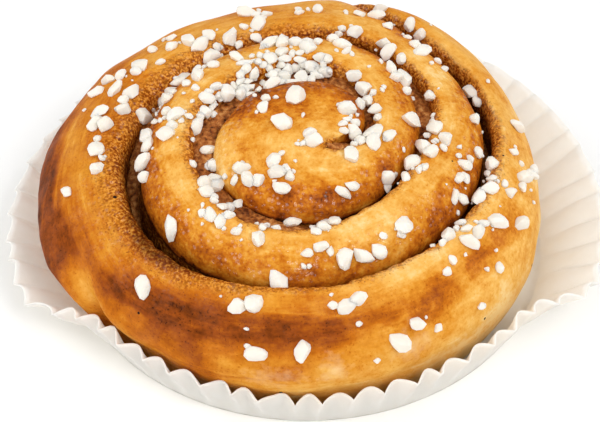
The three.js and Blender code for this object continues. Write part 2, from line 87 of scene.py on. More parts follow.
def compass_bells(compass, spots):
    """The same bumps round the compass, where 359 degrees is next to 1."""
    return sum(height * bell(past(compass, at), 0, reach) for at, height, reach in spots)


def direction(angle):
    return np.stack([np.cos(np.radians(angle)), np.sin(np.radians(angle))], axis=-1)


def noise_at(places, size, seed):
    """Smooth noise from about -1 to 1 at each place, with lumps of about this size."""
    shifted = np.reshape(places, (-1, 3)) / size + seed
    values = [noise.noise(Vector(place)) for place in shifted]
    return np.reshape(values, np.shape(places)[:-1])


def noise_layers(places, layers):
    """The sum of noise in layers, each given by the size of its lumps, its strength and its seed."""
    return sum(strength * noise_at(places, size, seed) for size, strength, seed in layers)


# %% [markdown]
# ## The seam of the roll
# Seen from above, the seam between the turns of the roll is a spiral. A curve object could follow it, but
# the dough, the filling and the sugar all need to know where the seam is, so it is a formula here: the
# distance from the middle of the roll at a turning angle that keeps counting past a full turn. An oval, a
# squeeze and a few swells make it as uneven as hand-rolled dough, and its last stretch runs out to the side.

# %% The seam as a formula
ROLL_CENTRE = np.array([-2.1, -6.8]) * MM
SEAM_START = -61
SEAM_END = 804
SEAM_RADIUS = 13.0 * MM
SEAM_PITCH = 12.9 * MM
SEAM_OVAL = 1.9 * MM
SEAM_OVAL_TOWARDS = 58
SEAM_SQUEEZE = 0.95 * MM
SEAM_SWELLS = [(-5, 1.8 * MM, 28), (85, -1.4 * MM, 45), (275, 1.7 * MM, 45)]
RUN_OUT = 13.9 * MM
RUN_OUT_FROM = 765
RUN_OUT_OVER = 40
MOUTH = 0.9 * MM
WIDE_MOUTHS = [
    (-25, 0.5 * MM, 20),
    (75, 1.9 * MM, 32),
    (120, 1.2 * MM, 30),
    (175, 2.0 * MM, 32),
    (250, 1.6 * MM, 35),
    (318, 0.6 * MM, 22),
    (382, 1.2 * MM, 18),
    (515, 0.7 * MM, 35),
    (582, 1.0 * MM, 30),
    (742, 0.4 * MM, 25),
]
MOUTH_OPENS_OVER = 18
THROAT = 1.05 * MM
THROAT_DEPTH = 6 * MM


def seam_radius(turn):
    run_out = np.maximum(0, turn - RUN_OUT_FROM) / RUN_OUT_OVER
    oval = np.cos(2 * np.radians(turn - SEAM_OVAL_TOWARDS))
    even = SEAM_RADIUS + SEAM_PITCH * turn / 360
    squeeze = SEAM_SQUEEZE * np.sin(np.radians(turn / 2))
    return even + SEAM_OVAL * oval - squeeze + bells(turn, SEAM_SWELLS) + RUN_OUT * run_out**2


def open_share(turn):
    return rise(turn, SEAM_START, MOUTH_OPENS_OVER)


def mouth(turn):
    return (MOUTH + bells(turn, WIDE_MOUTHS)) * open_share(turn)


def on_roll(turn, radius):
    return ROLL_CENTRE + direction(turn) * np.asarray(radius)[..., None]


seam_ends = [in_mm(seam_radius(turn)) for turn in (SEAM_START, SEAM_END)]
print("seam winds from", seam_ends[0], "to", seam_ends[1], "mm from the middle of the roll")

# %% [markdown]
# ## The outside of the bun
# In the oven the roll swells into a round belly with a flatter crown. The belly is a circle with a few soft
# swells. The crown is a shallow dome that turns down over a round shoulder. Keeping it a formula, and not a
# sculpted mesh, lets the sugar find the crust later.

# %% The belly and the dome
BELLY_CENTRE = np.array([-4.4, -6.15]) * MM
BELLY_RADIUS = 51 * MM
BELLY_SWELLS = [(60, 5.5 * MM, 30), (145, -1.0 * MM, 25), (235, -1.5 * MM, 30)]
SWELL_ROUNDS = 3
BELLY_Z = 17 * MM
BELLY_SHOULDER = 11 * MM
SHOULDER_FULLNESS = 2.4
FOOT_CENTRE = np.array([-1.15, -5.9]) * MM
FOOT_RADIUS = 48.5 * MM
FOOT_Z = 10 * MM
BASE_RADIUS = 44.5 * MM
BASE_Z = 0.75 * MM
TUCK_INSET = 6 * MM
TUCK_IN = (160, 37)
TUCK_OUT = (207, 6)
CROWN_HEIGHT = 39.5 * MM
CROWN_FALL = 10 * MM
CROWN_FALL_RADIUS = 43 * MM
CROWN_RISES = [(60, 2.4 * MM, 36)]


def reach(turn, centre, radius):
    """How far a circle lies from the middle of the roll, in one compass direction."""
    offset = centre - ROLL_CENTRE
    along = direction(turn) @ offset
    return along + np.sqrt(radius**2 - offset @ offset + along**2)


def compass_from_belly(places):
    away = places - BELLY_CENTRE
    return np.degrees(np.arctan2(away[..., 1], away[..., 0]))


def belly_radius(places):
    return BELLY_RADIUS + compass_bells(compass_from_belly(places), BELLY_SWELLS)


def belly_reach(turn):
    """How far the swelled belly lies from the middle of the roll. Each round comes closer to it."""
    out = reach(turn, BELLY_CENTRE, BELLY_RADIUS)
    for _ in range(SWELL_ROUNDS):
        out = reach(turn, BELLY_CENTRE, belly_radius(on_roll(turn, out)))
    return out


def from_belly_edge(places):
    """How far inside the belly's edge a place lies, seen from above."""
    return belly_radius(places) - np.linalg.norm(places - BELLY_CENTRE, axis=-1)


def dome_height(places):
    away = np.linalg.norm(places - BELLY_CENTRE, axis=-1)
    fall = CROWN_FALL - compass_bells(compass_from_belly(places), CROWN_RISES)
    crown = CROWN_HEIGHT - fall * (away / CROWN_FALL_RADIUS) ** 2
    over = np.clip(1 - from_belly_edge(places) / BELLY_SHOULDER, 0, 1)
    return BELLY_Z + (crown - BELLY_Z) * (1 - over**SHOULDER_FULLNESS) ** (1 / SHOULDER_FULLNESS)


def foot_tuck(turn):
    """The left side is tucked under, up to a crease where the foot comes out again."""
    compass = turn % 360
    return TUCK_INSET * rise(compass, *TUCK_IN) * (1 - rise(compass, *TUCK_OUT))


print("dome height over the middle:", in_mm(dome_height(BELLY_CENTRE)), "mm")

# %% [markdown]
# ## A cut across the strip
# Cut the rolled strip anywhere and the cut shows an inner wall, a rounded inner lip, the top, a rounded
# outer lip and an outer wall. The lips stand apart where the seam gapes and the walls come closer below.
# The last turn has no seam outside it, so there the outer wall is the belly of the bun.

# %% Where the lips and walls stand
OUTER_LIP_ACROSS = 6.5 * MM
OUTER_LIP_DROP = 5.0 * MM
INNER_LIP_ACROSS = 3.0 * MM
INNER_LIP_DROP = 2.2 * MM
FULL_WIDTH = 10 * MM
HIGH_LIPS = [(50, 3.0 * MM, 110), (180, 1.9 * MM, 55), (260, 1.4 * MM, 45), (480, 1.8 * MM, 60)]
SLOPES = [(885, 4.6 * MM, 48), (835, 2.8 * MM, 35), (1060, 1.2 * MM, 30), (1118, 3.4 * MM, 34)]
SLOPE_FALL = 0.7
SLOPE_ROOM = 0.4
SHOULDER_ROOM = 0.55
SIDE_RISE = (SEAM_END - 20, 35)
SECOND_TURN_FRONT = 630.0


class Cut:
    """The lips, walls and feet of the strip at one turning angle, or at a whole array of them."""

    def __init__(self, turn):
        inner_turn = turn - 360
        seamed = inner_turn >= SEAM_START
        self.turn = turn
        self.side = rise(turn, *SIDE_RISE)
        pole = on_roll(SEAM_START, seam_radius(SEAM_START))
        seam_in = seam_radius(inner_turn)
        throat_in = on_roll(turn, seam_in + THROAT * open_share(inner_turn))
        self.lip_in = np.where(seamed[..., None], on_roll(turn, seam_in + mouth(inner_turn)), pole)
        self.throat_in = np.where(seamed[..., None], throat_in, pole)
        belly = belly_reach(turn)
        lip_out = np.where(turn < SEAM_END, np.minimum(seam_radius(turn) - mouth(turn), belly), belly)
        seam_out = np.minimum(seam_radius(turn) - THROAT * open_share(turn), belly)
        self.lip_out = on_roll(turn, lip_out)
        self.throat_out = on_roll(turn, np.where(turn < SEAM_END, seam_out, belly))
        self.belly = belly
        self.width = np.linalg.norm(self.lip_out - self.lip_in, axis=-1)
        room = np.minimum(1, self.width / FULL_WIDTH)
        self.inner_open = np.where(seamed, open_share(inner_turn), 0)
        slope = bells(turn, SLOPES)
        inner_across = np.minimum((INNER_LIP_ACROSS + slope) * room, SLOPE_ROOM * self.width)
        self.inner_across = inner_across * self.inner_open
        self.inner_drop = (INNER_LIP_DROP + SLOPE_FALL * slope) * self.inner_open
        self.outer_across = np.minimum(OUTER_LIP_ACROSS * room, SHOULDER_ROOM * self.width)
        self.outer_drop = (OUTER_LIP_DROP - bells(turn, HIGH_LIPS)) * room * (1 - self.side)
        round_out = lerp(OUTER_LIP_ACROSS, BELLY_SHOULDER, self.side)
        self.round_out = np.minimum(round_out, SHOULDER_ROOM * self.width)
        self.inner_edge = dome_height(self.lip_in) - self.inner_drop
        self.outer_edge = dome_height(self.lip_out) - self.outer_drop

    def top(self, share):
        """Places on the top of the strip, at shares of the way from the inner lip to the outer lip."""
        plan = lerp(self.lip_in, self.lip_out, np.asarray(share)[..., None])
        fall = lip_fall(self.inner_across, self.inner_drop, share * self.width)
        fall = fall + lip_fall(self.outer_across, self.outer_drop, (1 - share) * self.width)
        return lift(plan, dome_height(plan) - fall)


def lip_fall(across, drop, from_edge):
    """How far a rounded lip has dropped at a distance from its edge."""
    over = np.clip(1 - from_edge / np.maximum(across, TINY), 0, 1)
    return drop * (1 - np.sqrt(1 - over**2))


def lift(plan, height):
    return np.concatenate([plan, np.broadcast_to(height, plan.shape[:-1])[..., None]], axis=-1)


front_cut = Cut(np.array(SECOND_TURN_FRONT))
print("second turn at the front is", in_mm(front_cut.width), "mm wide")

# %% [markdown]
# ## Rolling up the dough
# A real bun starts as a flat sheet, and so does this one: a grid, with a row for each cut along the strip
# and a column for each place round the cut. Sending every vertex of the grid to its place rolls it up.
# Merging doubles closes the tube along its foot and draws the start of the strip into a line. Its tail is
# rounded off towards its inner wall. A Screw modifier could wind a spiral too, but not with a strip whose
# width changes as it goes.

# %% Places round a cut
CUT_STEP = 0.58 * MM
LEAST_RADIUS = 8 * MM
STRIP_END = SEAM_END + 356
TAIL_LIFT = 3 * MM
TAIL_RISE = (STRIP_END - 40, 40)
INNER_LIP_POINTS = 12
CREST_POINTS = 14
OUTER_LIP_POINTS = 16
THROAT_POINTS = 9
FOOT_POINTS = 3
TUCK_AT_FOOT = 0.7
LEAST_WALL = 0.5 * MM
WELD = 1e-6


def even_turns(start, end, step):
    """Turning angles that are an even step apart along the seam."""
    turns = [start]
    while turns[-1] < end:
        radius = np.clip(seam_radius(turns[-1]), LEAST_RADIUS, BELLY_RADIUS)
        turns.append(turns[-1] + math.degrees(step / radius))
    turns[-1] = end
    return np.array(turns)


def top_shares(section):
    """Shares across the top, crowded where the lips round over."""
    width = np.maximum(section.width, WELD)
    inner_swing = np.linspace(0, math.pi / 2, INNER_LIP_POINTS)
    outer_swing = np.linspace(0, math.pi / 2, OUTER_LIP_POINTS)
    inner = section.inner_across * (1 - np.cos(inner_swing)) / width
    outer = 1 - section.round_out * (1 - np.sin(outer_swing)) / width
    between = np.linspace(0, 1, CREST_POINTS + 2)[1:-1]
    crest = lerp(section.inner_across / width, 1 - section.round_out / width, between)
    return np.concatenate([inner, crest, outer], axis=1)


def foot_height(turn):
    """The strip stands on the paper, but the foot of its tail lifts off."""
    return BASE_Z + TAIL_LIFT * rise(turn, *TAIL_RISE)


def seam_wall(turn, lip, edge, throat):
    """A wall of the seam, from just under a lip to the throat and straight down to the foot."""
    down = np.linspace(0, 1, THROAT_POINTS + 1)[1:]
    upper = lift(lerp(lip, throat, down[:, None]), edge - THROAT_DEPTH * down)
    below = np.linspace(0, 1, FOOT_POINTS + 1)[1:]
    plan = np.broadcast_to(throat, (len(throat), FOOT_POINTS, 2))
    lower = lift(plan, lerp(edge - THROAT_DEPTH, foot_height(turn), below))
    return np.concatenate([upper, lower], axis=1)


def belly_wall(section):
    """The outside of the bun under its belly: a curve through the foot, tucked in at the base."""
    tuck = foot_tuck(section.turn)
    foot = reach(section.turn, FOOT_CENTRE, FOOT_RADIUS - TUCK_AT_FOOT * tuck)
    base = reach(section.turn, FOOT_CENTRE, BASE_RADIUS - tuck)
    down = np.linspace(0, 1, THROAT_POINTS + FOOT_POINTS + 1)[1:]
    start, middle, end = (1 - down) * (1 - 2 * down), 4 * down * (1 - down), down * (2 * down - 1)
    radius = section.belly * start + foot * middle + base * end
    height = BELLY_Z * start + FOOT_Z * middle + foot_height(section.turn) * end
    least = np.linalg.norm(section.throat_in - ROLL_CENTRE, axis=-1) + LEAST_WALL
    return lift(on_roll(section.turn, np.maximum(radius, least)), height)


# %% The grid of the strip
turns = even_turns(SEAM_START, STRIP_END, CUT_STEP)
strip = Cut(turns[:, None])
shares = top_shares(strip)
inner_wall = seam_wall(strip.turn, strip.lip_in, strip.inner_edge, strip.throat_in)[:, ::-1]
outer_seam_wall = seam_wall(strip.turn, strip.lip_out, strip.outer_edge, strip.throat_out)
outer_wall = lerp(outer_seam_wall, belly_wall(strip), strip.side[..., None])
strip_places = np.concatenate([inner_wall, strip.top(shares), outer_wall, inner_wall[:, :1]], axis=1)

wall_points = inner_wall.shape[1]
down_wall = np.linspace(0, 2 * THROAT_DEPTH, wall_points + 1)[1:]
wall_depth = np.broadcast_to(down_wall, (len(turns), wall_points))
across_top = shares * strip.width
from_inner = np.concatenate(
    [-wall_depth[:, ::-1], across_top, strip.width + wall_depth, -wall_depth[:, -1:]], axis=1
)
from_outer = np.concatenate(
    [strip.width + wall_depth[:, ::-1], strip.width - across_top, -wall_depth, -wall_depth[:, -1:]], axis=1
)
stations = on_roll(turns, np.minimum(seam_radius(turns), BELLY_RADIUS))
strides = np.linalg.norm(np.diff(stations, axis=0), axis=-1)
along_strip = np.concatenate([[0], np.cumsum(strides)])
print("strip of", len(turns), "cuts with", strip_places.shape[1] - 1, "places each")

# %% From grid to closed dough
def rolled_grid(places, marks):
    """A grid with a vertex at each place, merged where its sides meet. The marks become vertex layers."""
    rows, columns = places.shape[:2]
    sheet = bmesh.new()
    bmesh.ops.create_grid(sheet, x_segments=columns - 1, y_segments=rows - 1, size=1)
    for vert, place in zip(sheet.verts, places.reshape(-1, 3)):
        vert.co = place
    for mark, values in marks.items():
        layer = sheet.verts.layers.float.new(mark)
        spread = np.broadcast_to(values, (rows, columns))
        for vert, value in zip(sheet.verts, spread.ravel()):
            vert[layer] = value
    bmesh.ops.remove_doubles(sheet, verts=sheet.verts, dist=WELD)
    return sheet


def close_ends(sheet):
    rims = [edge for edge in sheet.edges if edge.is_boundary]
    bmesh.ops.holes_fill(sheet, edges=rims, sides=0)
    bmesh.ops.recalc_face_normals(sheet, faces=sheet.faces)


def add_object(name, data):
    made = bpy.data.objects.new(name, data)
    bpy.context.scene.collection.objects.link(made)
    return made


def piece_from(sheet, name):
    """Turns a bmesh into a smooth-shaded object of the scene."""
    mesh = bpy.data.meshes.new(name)
    sheet.to_mesh(mesh)
    sheet.free()
    mesh.shade_smooth()
    piece = add_object(name, mesh)
    triangles = sum(len(face.vertices) - 2 for face in mesh.polygons)
    print(name, "has", len(mesh.vertices), "vertices and", triangles, "triangles")
    return piece


dough_sheet = rolled_grid(
    strip_places,
    {
        "turn": turns[:, None],
        "along": along_strip[:, None] / MM,
        "from_inner": from_inner / MM,
        "from_outer": from_outer / MM,
        "side": strip.side,
        "seamed": strip.inner_open,
    },
)
close_ends(dough_sheet)
print("dough closed from", len(dough_sheet.faces), "faces")

# %% Smooth the belly and round off the tail
BELLY_SMOOTHINGS = 10
SMOOTHING = 0.5
SMOOTHED_SIDE = 0.5
SMOOTHED_TO = 24 * MM
FOOT_KEPT = 0.05 * MM
END_ROUND = 4.5
END_KEPT = 0.12

side_mark = dough_sheet.verts.layers.float["side"]
turn_mark = dough_sheet.verts.layers.float["turn"]
side_verts = [vert for vert in dough_sheet.verts if vert[side_mark] > SMOOTHED_SIDE]
belly_verts = [
    vert for vert in side_verts if foot_height(vert[turn_mark]) + FOOT_KEPT < vert.co.z < SMOOTHED_TO
]
for _ in range(BELLY_SMOOTHINGS):
    bmesh.ops.smooth_vert(
        dough_sheet, verts=belly_verts, factor=SMOOTHING, use_axis_x=True, use_axis_y=True, use_axis_z=True
    )
tail_verts = [vert for vert in dough_sheet.verts if vert[turn_mark] > STRIP_END - END_ROUND]
for vert in tail_verts:
    into_end = 1 - (STRIP_END - vert[turn_mark]) / END_ROUND
    inner = Vector(Cut(np.array(vert[turn_mark])).throat_in)
    thinned = lerp(1, END_KEPT, 1 - math.sqrt(1 - into_end**2))
    vert.co.xy = inner + thinned * (vert.co.xy - inner)
dough = piece_from(dough_sheet, "dough")

# %% [markdown]
# ## A crease in the side
# At the lower left the side of the bun folded as it rose: a sharp crease with a soft roll beside it, and a
# pale dimple over it. It could be sculpted, but a formula keeps it in step with the browning. The marks that
# the grid carried are read back first, because they say where on the strip each vertex is.

# %% Read the marks back
CARRIED = ["turn", "from_inner", "from_outer", "side", "seamed"]


def read(items, field, width):
    """The values of a field, one row for each item."""
    values = np.empty(width * len(items), np.float32)
    items.foreach_get(field, values)
    return values.reshape(-1, width).astype(float)


carried = [read(dough.data.attributes[mark].data, "value", 1)[:, 0] for mark in CARRIED]
turn, in_edge, out_edge, side, seamed = carried
crust_places = read(dough.data.vertices, "co", 3)
print("marks read back for", len(turn), "vertices")

# %% A crease at the lower left
CREASE_AT = 222
CREASE_HEIGHT = 13 * MM
CREASE_LEAN = 0.8 / MM
CREASE_RISE = (2 * MM, 5 * MM)
CREASE_FADE = (16 * MM, 10 * MM)
CREASE_FOLDS = [(0, -2.6 * MM, 3.4), (-14, 2.1 * MM, 11)]
DIMPLE_HEIGHT = 19 * MM
DIMPLE_TALL = 6 * MM
DIMPLE_ACROSS = 8

compass = turn % 360
height = crust_places[:, 2]
across_crease = compass - CREASE_AT + CREASE_LEAN * (height - CREASE_HEIGHT)
creased = rise(height, *CREASE_RISE) * (1 - rise(height, *CREASE_FADE))
folds = bells(across_crease, CREASE_FOLDS) * creased * side
dimple = bell(across_crease, 0, DIMPLE_ACROSS) * bell(height, DIMPLE_HEIGHT, DIMPLE_TALL) * side
print("crease", in_mm(-folds.min()), "mm deep")

# %% [markdown]
# ## Where the crust is brown and where cinnamon shows
# The crust is palest on its crests, partly paler crust and partly painted sheen of the glaze. It is golden
# on the slopes and dark along the shoulder that bulged towards the heat. On the right of the outer turn it
# is lightened as painted light, and deep in the seam it is darkened, partly by cinnamon and partly as
# painted shade. Cinnamon has melted out along the lips of the seam. These are not textures that repeat,
# they follow the roll, so each vertex gets marks that the material reads later: how brown it is, with the
# painted light and shade, how mottled it is, how much cinnamon lies on it, how deep in the seam and how
# wet it is, and where syrup dried on it.

# %% Cinnamon along the lips
INNER_STAIN = 3.2
OUTER_STAIN = 1.5
OUTER_STAIN_FROM = 3.5
STAIN_SPOTS = [
    (400, -1.0, 40),
    (520, 2.0, 60),
    (765, -1.6, 45),
    (848, 5.5, 42),
    (920, 9.5, 44),
    (955, 1.5, 25),
    (1070, 2.5, 30),
    (1115, -1.2, 30),
]
STAIN_RAGGED = [(4 * MM, 1.4, 11)]
LEAST_STAIN = 0.3
START_STAIN_TURN = SEAM_START + 12
START_STAIN_REACH = 2.4 * MM

ragged = noise_layers(crust_places, STAIN_RAGGED)
inner_reach = np.maximum(INNER_STAIN + bells(turn, STAIN_SPOTS) + ragged, LEAST_STAIN)
inner_stain = (1 - rise(in_edge, 0, inner_reach)) * seamed
outer_reach = np.maximum(OUTER_STAIN + ragged, LEAST_STAIN)
outer_stain = (1 - rise(out_edge, -OUTER_STAIN_FROM, outer_reach)) * (1 - side)
start_place = on_roll(START_STAIN_TURN, seam_radius(START_STAIN_TURN))
from_start = np.linalg.norm(crust_places[:, :2] - start_place, axis=-1)
start_stain = np.exp(-((from_start / START_STAIN_REACH) ** 4))
cinnamon = np.maximum(np.maximum(inner_stain, outer_stain), start_stain)
print("cinnamon on", round(100 * float(np.mean(cinnamon > 0.5))), "percent of the vertices")

# %% The dark band along the shoulder
BAND_PLACE = 4.4
BAND_PLACE_SHIFTS = [(185, -3.4, 45)]
BAND_REACH = 2.8
BAND_STRENGTH = 0.04
BAND_SPOTS = [(188, 0.6, 30), (248, 0.36, 32), (290, 0.26, 30), (330, 0.3, 28)]
BAND_RISE = (15 * MM, 4 * MM)
BAND_BREAKS = [(3.5 * MM, 0.3, 9)]

edge = from_belly_edge(crust_places[:, :2]) / MM
band_at = BAND_PLACE + compass_bells(compass, BAND_PLACE_SHIFTS)
shoulder = bell(edge, band_at, BAND_REACH) * rise(height, *BAND_RISE)
broken = 1 + noise_layers(crust_places, BAND_BREAKS)
band = shoulder * (BAND_STRENGTH + compass_bells(compass, BAND_SPOTS)) * side * broken * (1 - dimple)
print("band up to", round(float(band.max()), 2), "browner than the crust round it")

# %% The lips down in the seam
# How deep a vertex lies in the seam. The crust is darkened there, partly by cinnamon on the lips and partly
# as painted shade, where the gap is nearly black.
INNER_DEEP_FROM = 0.5
INNER_DEEP_REACH = 4.0
EARLY_DEEP = [(912, 2.2, 20), (946, 5.4, 20)]
OUTER_DEEP_RISE = (1.0, 2.5)

deep_edge = INNER_DEEP_FROM - bells(turn, EARLY_DEEP)
inner_deep = rise(-in_edge, deep_edge, INNER_DEEP_REACH) * seamed
outer_deep = rise(-out_edge, *OUTER_DEEP_RISE) * (1 - side)
deep = np.minimum(inner_deep + outer_deep, 1)
print("deep in the seam:", round(100 * float(np.mean(deep > 0.5))), "percent of the vertices")

# %% Browning of the crust, with painted light and shade
GOLDEN = 0.38
TOP_SPOTS = [
    (100, 0.06, 40),
    # The pale spot on the crest of the hook is painted sheen of the glaze.
    (206, -0.18, 30),
    (265, 0.05, 40),
    (560, 0.05, 40),
    (640, -0.06, 40),
    (1036, -0.12, 26),
    (1110, -0.1, 35),
]
# Paler crests of the inner turns: partly paler crust, partly painted sheen of the glaze.
PALE_CREST_AND_SHEEN = 0.15
PALE_CREST_PLACE = 5.0
PALE_CREST_REACH = 3.5
FLANK_BROWNING = 0.26
PALE_FLANKS = [(212, -0.32, 26)]
FLANK_FROM = OUTER_LIP_ACROSS / MM + 1
FLANK_REACH = 6.0
OUTER_TURN_RISE = (740, 90)
# The outer turn is browner at the left and the front. Its paler right side is painted light.
OUTER_BROWNING_AND_LIGHT = [(180, 0.1, 50), (255, 0.09, 45), (332, -0.18, 45)]
WALL_HEIGHTS = [6 * MM, 11 * MM, 17 * MM, 23 * MM]
WALL_TONES = [-0.16, -0.1, 0.06, 0.0]
PALE_DIMPLE = 0.2
BLOTCHES = [(16 * MM, 0.14, 3), (6 * MM, 0.1, 5)]
DARKEST_CRUST = 0.84
# Browning deep in the seam, partly dark cinnamon and partly painted shade.
DEEP_BROWNING_AND_SHADE = 0.8

outer_turn = rise(turn, *OUTER_TURN_RISE)
flank = rise(-out_edge, -FLANK_FROM, FLANK_REACH) * (1 - side)
flank_tone = FLANK_BROWNING + bells(turn, PALE_FLANKS)
wall_tone = side * np.interp(height, WALL_HEIGHTS, WALL_TONES)
crest = bell(in_edge, PALE_CREST_PLACE, PALE_CREST_REACH) * (1 - outer_turn)
# The browning takes in painted sheen on the crests and painted light on the right of the outer turn.
browning_and_painted_light = GOLDEN + bells(turn, TOP_SPOTS) - PALE_CREST_AND_SHEEN * crest + flank_tone * flank + band + wall_tone
browning_and_painted_light = browning_and_painted_light + outer_turn * compass_bells(compass, OUTER_BROWNING_AND_LIGHT) - PALE_DIMPLE * dimple
browning_and_painted_light = browning_and_painted_light + noise_layers(crust_places, BLOTCHES)
# Past the darkest crust, cinnamon and painted shade darken the lips deep in the seam.
browning_and_painted_light = np.minimum(browning_and_painted_light, DARKEST_CRUST) + DEEP_BROWNING_AND_SHADE * (inner_deep + outer_deep)
print("browning from", round(float(browning_and_painted_light.min()), 2), "to", round(float(browning_and_painted_light.max()), 2))

# %% Mottling, glaze and syrup
CALM_SIDE = 0.5
FLANK_MOTTLING = 0.35
MOTTLED_SPOTS = [(345, 0.6, 45)]
WET_FLANK = 0.9
WET_STAIN = 0.6
DRY_DEEP = 0.85
SYRUP_SPOTS = [(264, 17 * MM, 8), (278, 19 * MM, 5), (296, 20 * MM, 7)]
SYRUP_TALL = 5 * MM

mottling = lerp(1, CALM_SIDE, side) + FLANK_MOTTLING * flank
mottling = mottling + outer_turn * compass_bells(compass, MOTTLED_SPOTS)
wet = np.maximum(WET_FLANK * flank, WET_STAIN * cinnamon) * (1 - DRY_DEEP * deep)
syrup = side * sum(
    bell(past(compass, at), 0, across) * bell(height, up, SYRUP_TALL) for at, up, across in SYRUP_SPOTS
)
crust_marks = {
    "browning_and_painted_light": browning_and_painted_light,
    "mottling": mottling,
    "cinnamon": cinnamon,
    "deep": deep,
    "wet": wet,
    "syrup": syrup,
}
for mark, values in crust_marks.items():
    attribute = dough.data.attributes.new(mark, "FLOAT", "POINT")
    attribute.data.foreach_set("value", values.astype(np.float32))
print("marks given:", ", ".join(crust_marks))

# %% [markdown]
# ## Relief of the crust
# Dough rises unevenly, so the crust has soft lumps, and the cinnamon along the lips makes it craggy there.
# These and the crease are real shape: every vertex moves along its normal. A Displace modifier with a texture
# does the same, but moving the vertices here lets the sugar use the very same lumps later.

# %% Lumps and crags
LUMPS = [(13 * MM, 0.55 * MM, 21), (5 * MM, 0.22 * MM, 22)]
LUMPS_RISE = (5 * MM, 9 * MM)
CRAGS = [(1.9 * MM, 0.32 * MM, 31), (1.0 * MM, 0.16 * MM, 32)]
CRAGS_RISE = (5 * MM, 5 * MM)


def lumps(places):
    """How far the crust stands out or falls in at each place. It fades towards the foot."""
    return rise(places[..., 2], *LUMPS_RISE) * noise_layers(places, LUMPS)


normals = read(dough.data.vertex_normals, "vector", 3)
crags = noise_layers(crust_places, CRAGS) * cinnamon * rise(height, *CRAGS_RISE)
shift = lumps(crust_places) + folds + crags
risen = crust_places + normals * shift[:, None]
dough.data.vertices.foreach_set("co", risen.astype(np.float32).ravel())
dough.data.update()
print("relief from", in_mm(shift.min()), "to", in_mm(shift.max()), "mm")

# %% [markdown]
# ## Small helpers for materials
# A material is a tree of nodes. The words of this class add a node or a few, link what comes in and give back
# what comes out, so that every finish below reads as a short recipe. Colours are written as they look on
# screen, from 0 to 255.

# %% Words for finishes
DUST_GAIN = 0.25
DUST_ABOVE = (0.64, 9.0)


def screen_colour(red, green, blue):
    """A colour as seen on screen, turned into the linear values that shaders use."""
    shares = [part / 255 for part in (red, green, blue)]
    linear = [part / 12.92 if part <= 0.04045 else ((part + 0.055) / 1.055) ** 2.4 for part in shares]
    return (*linear, 1.0)


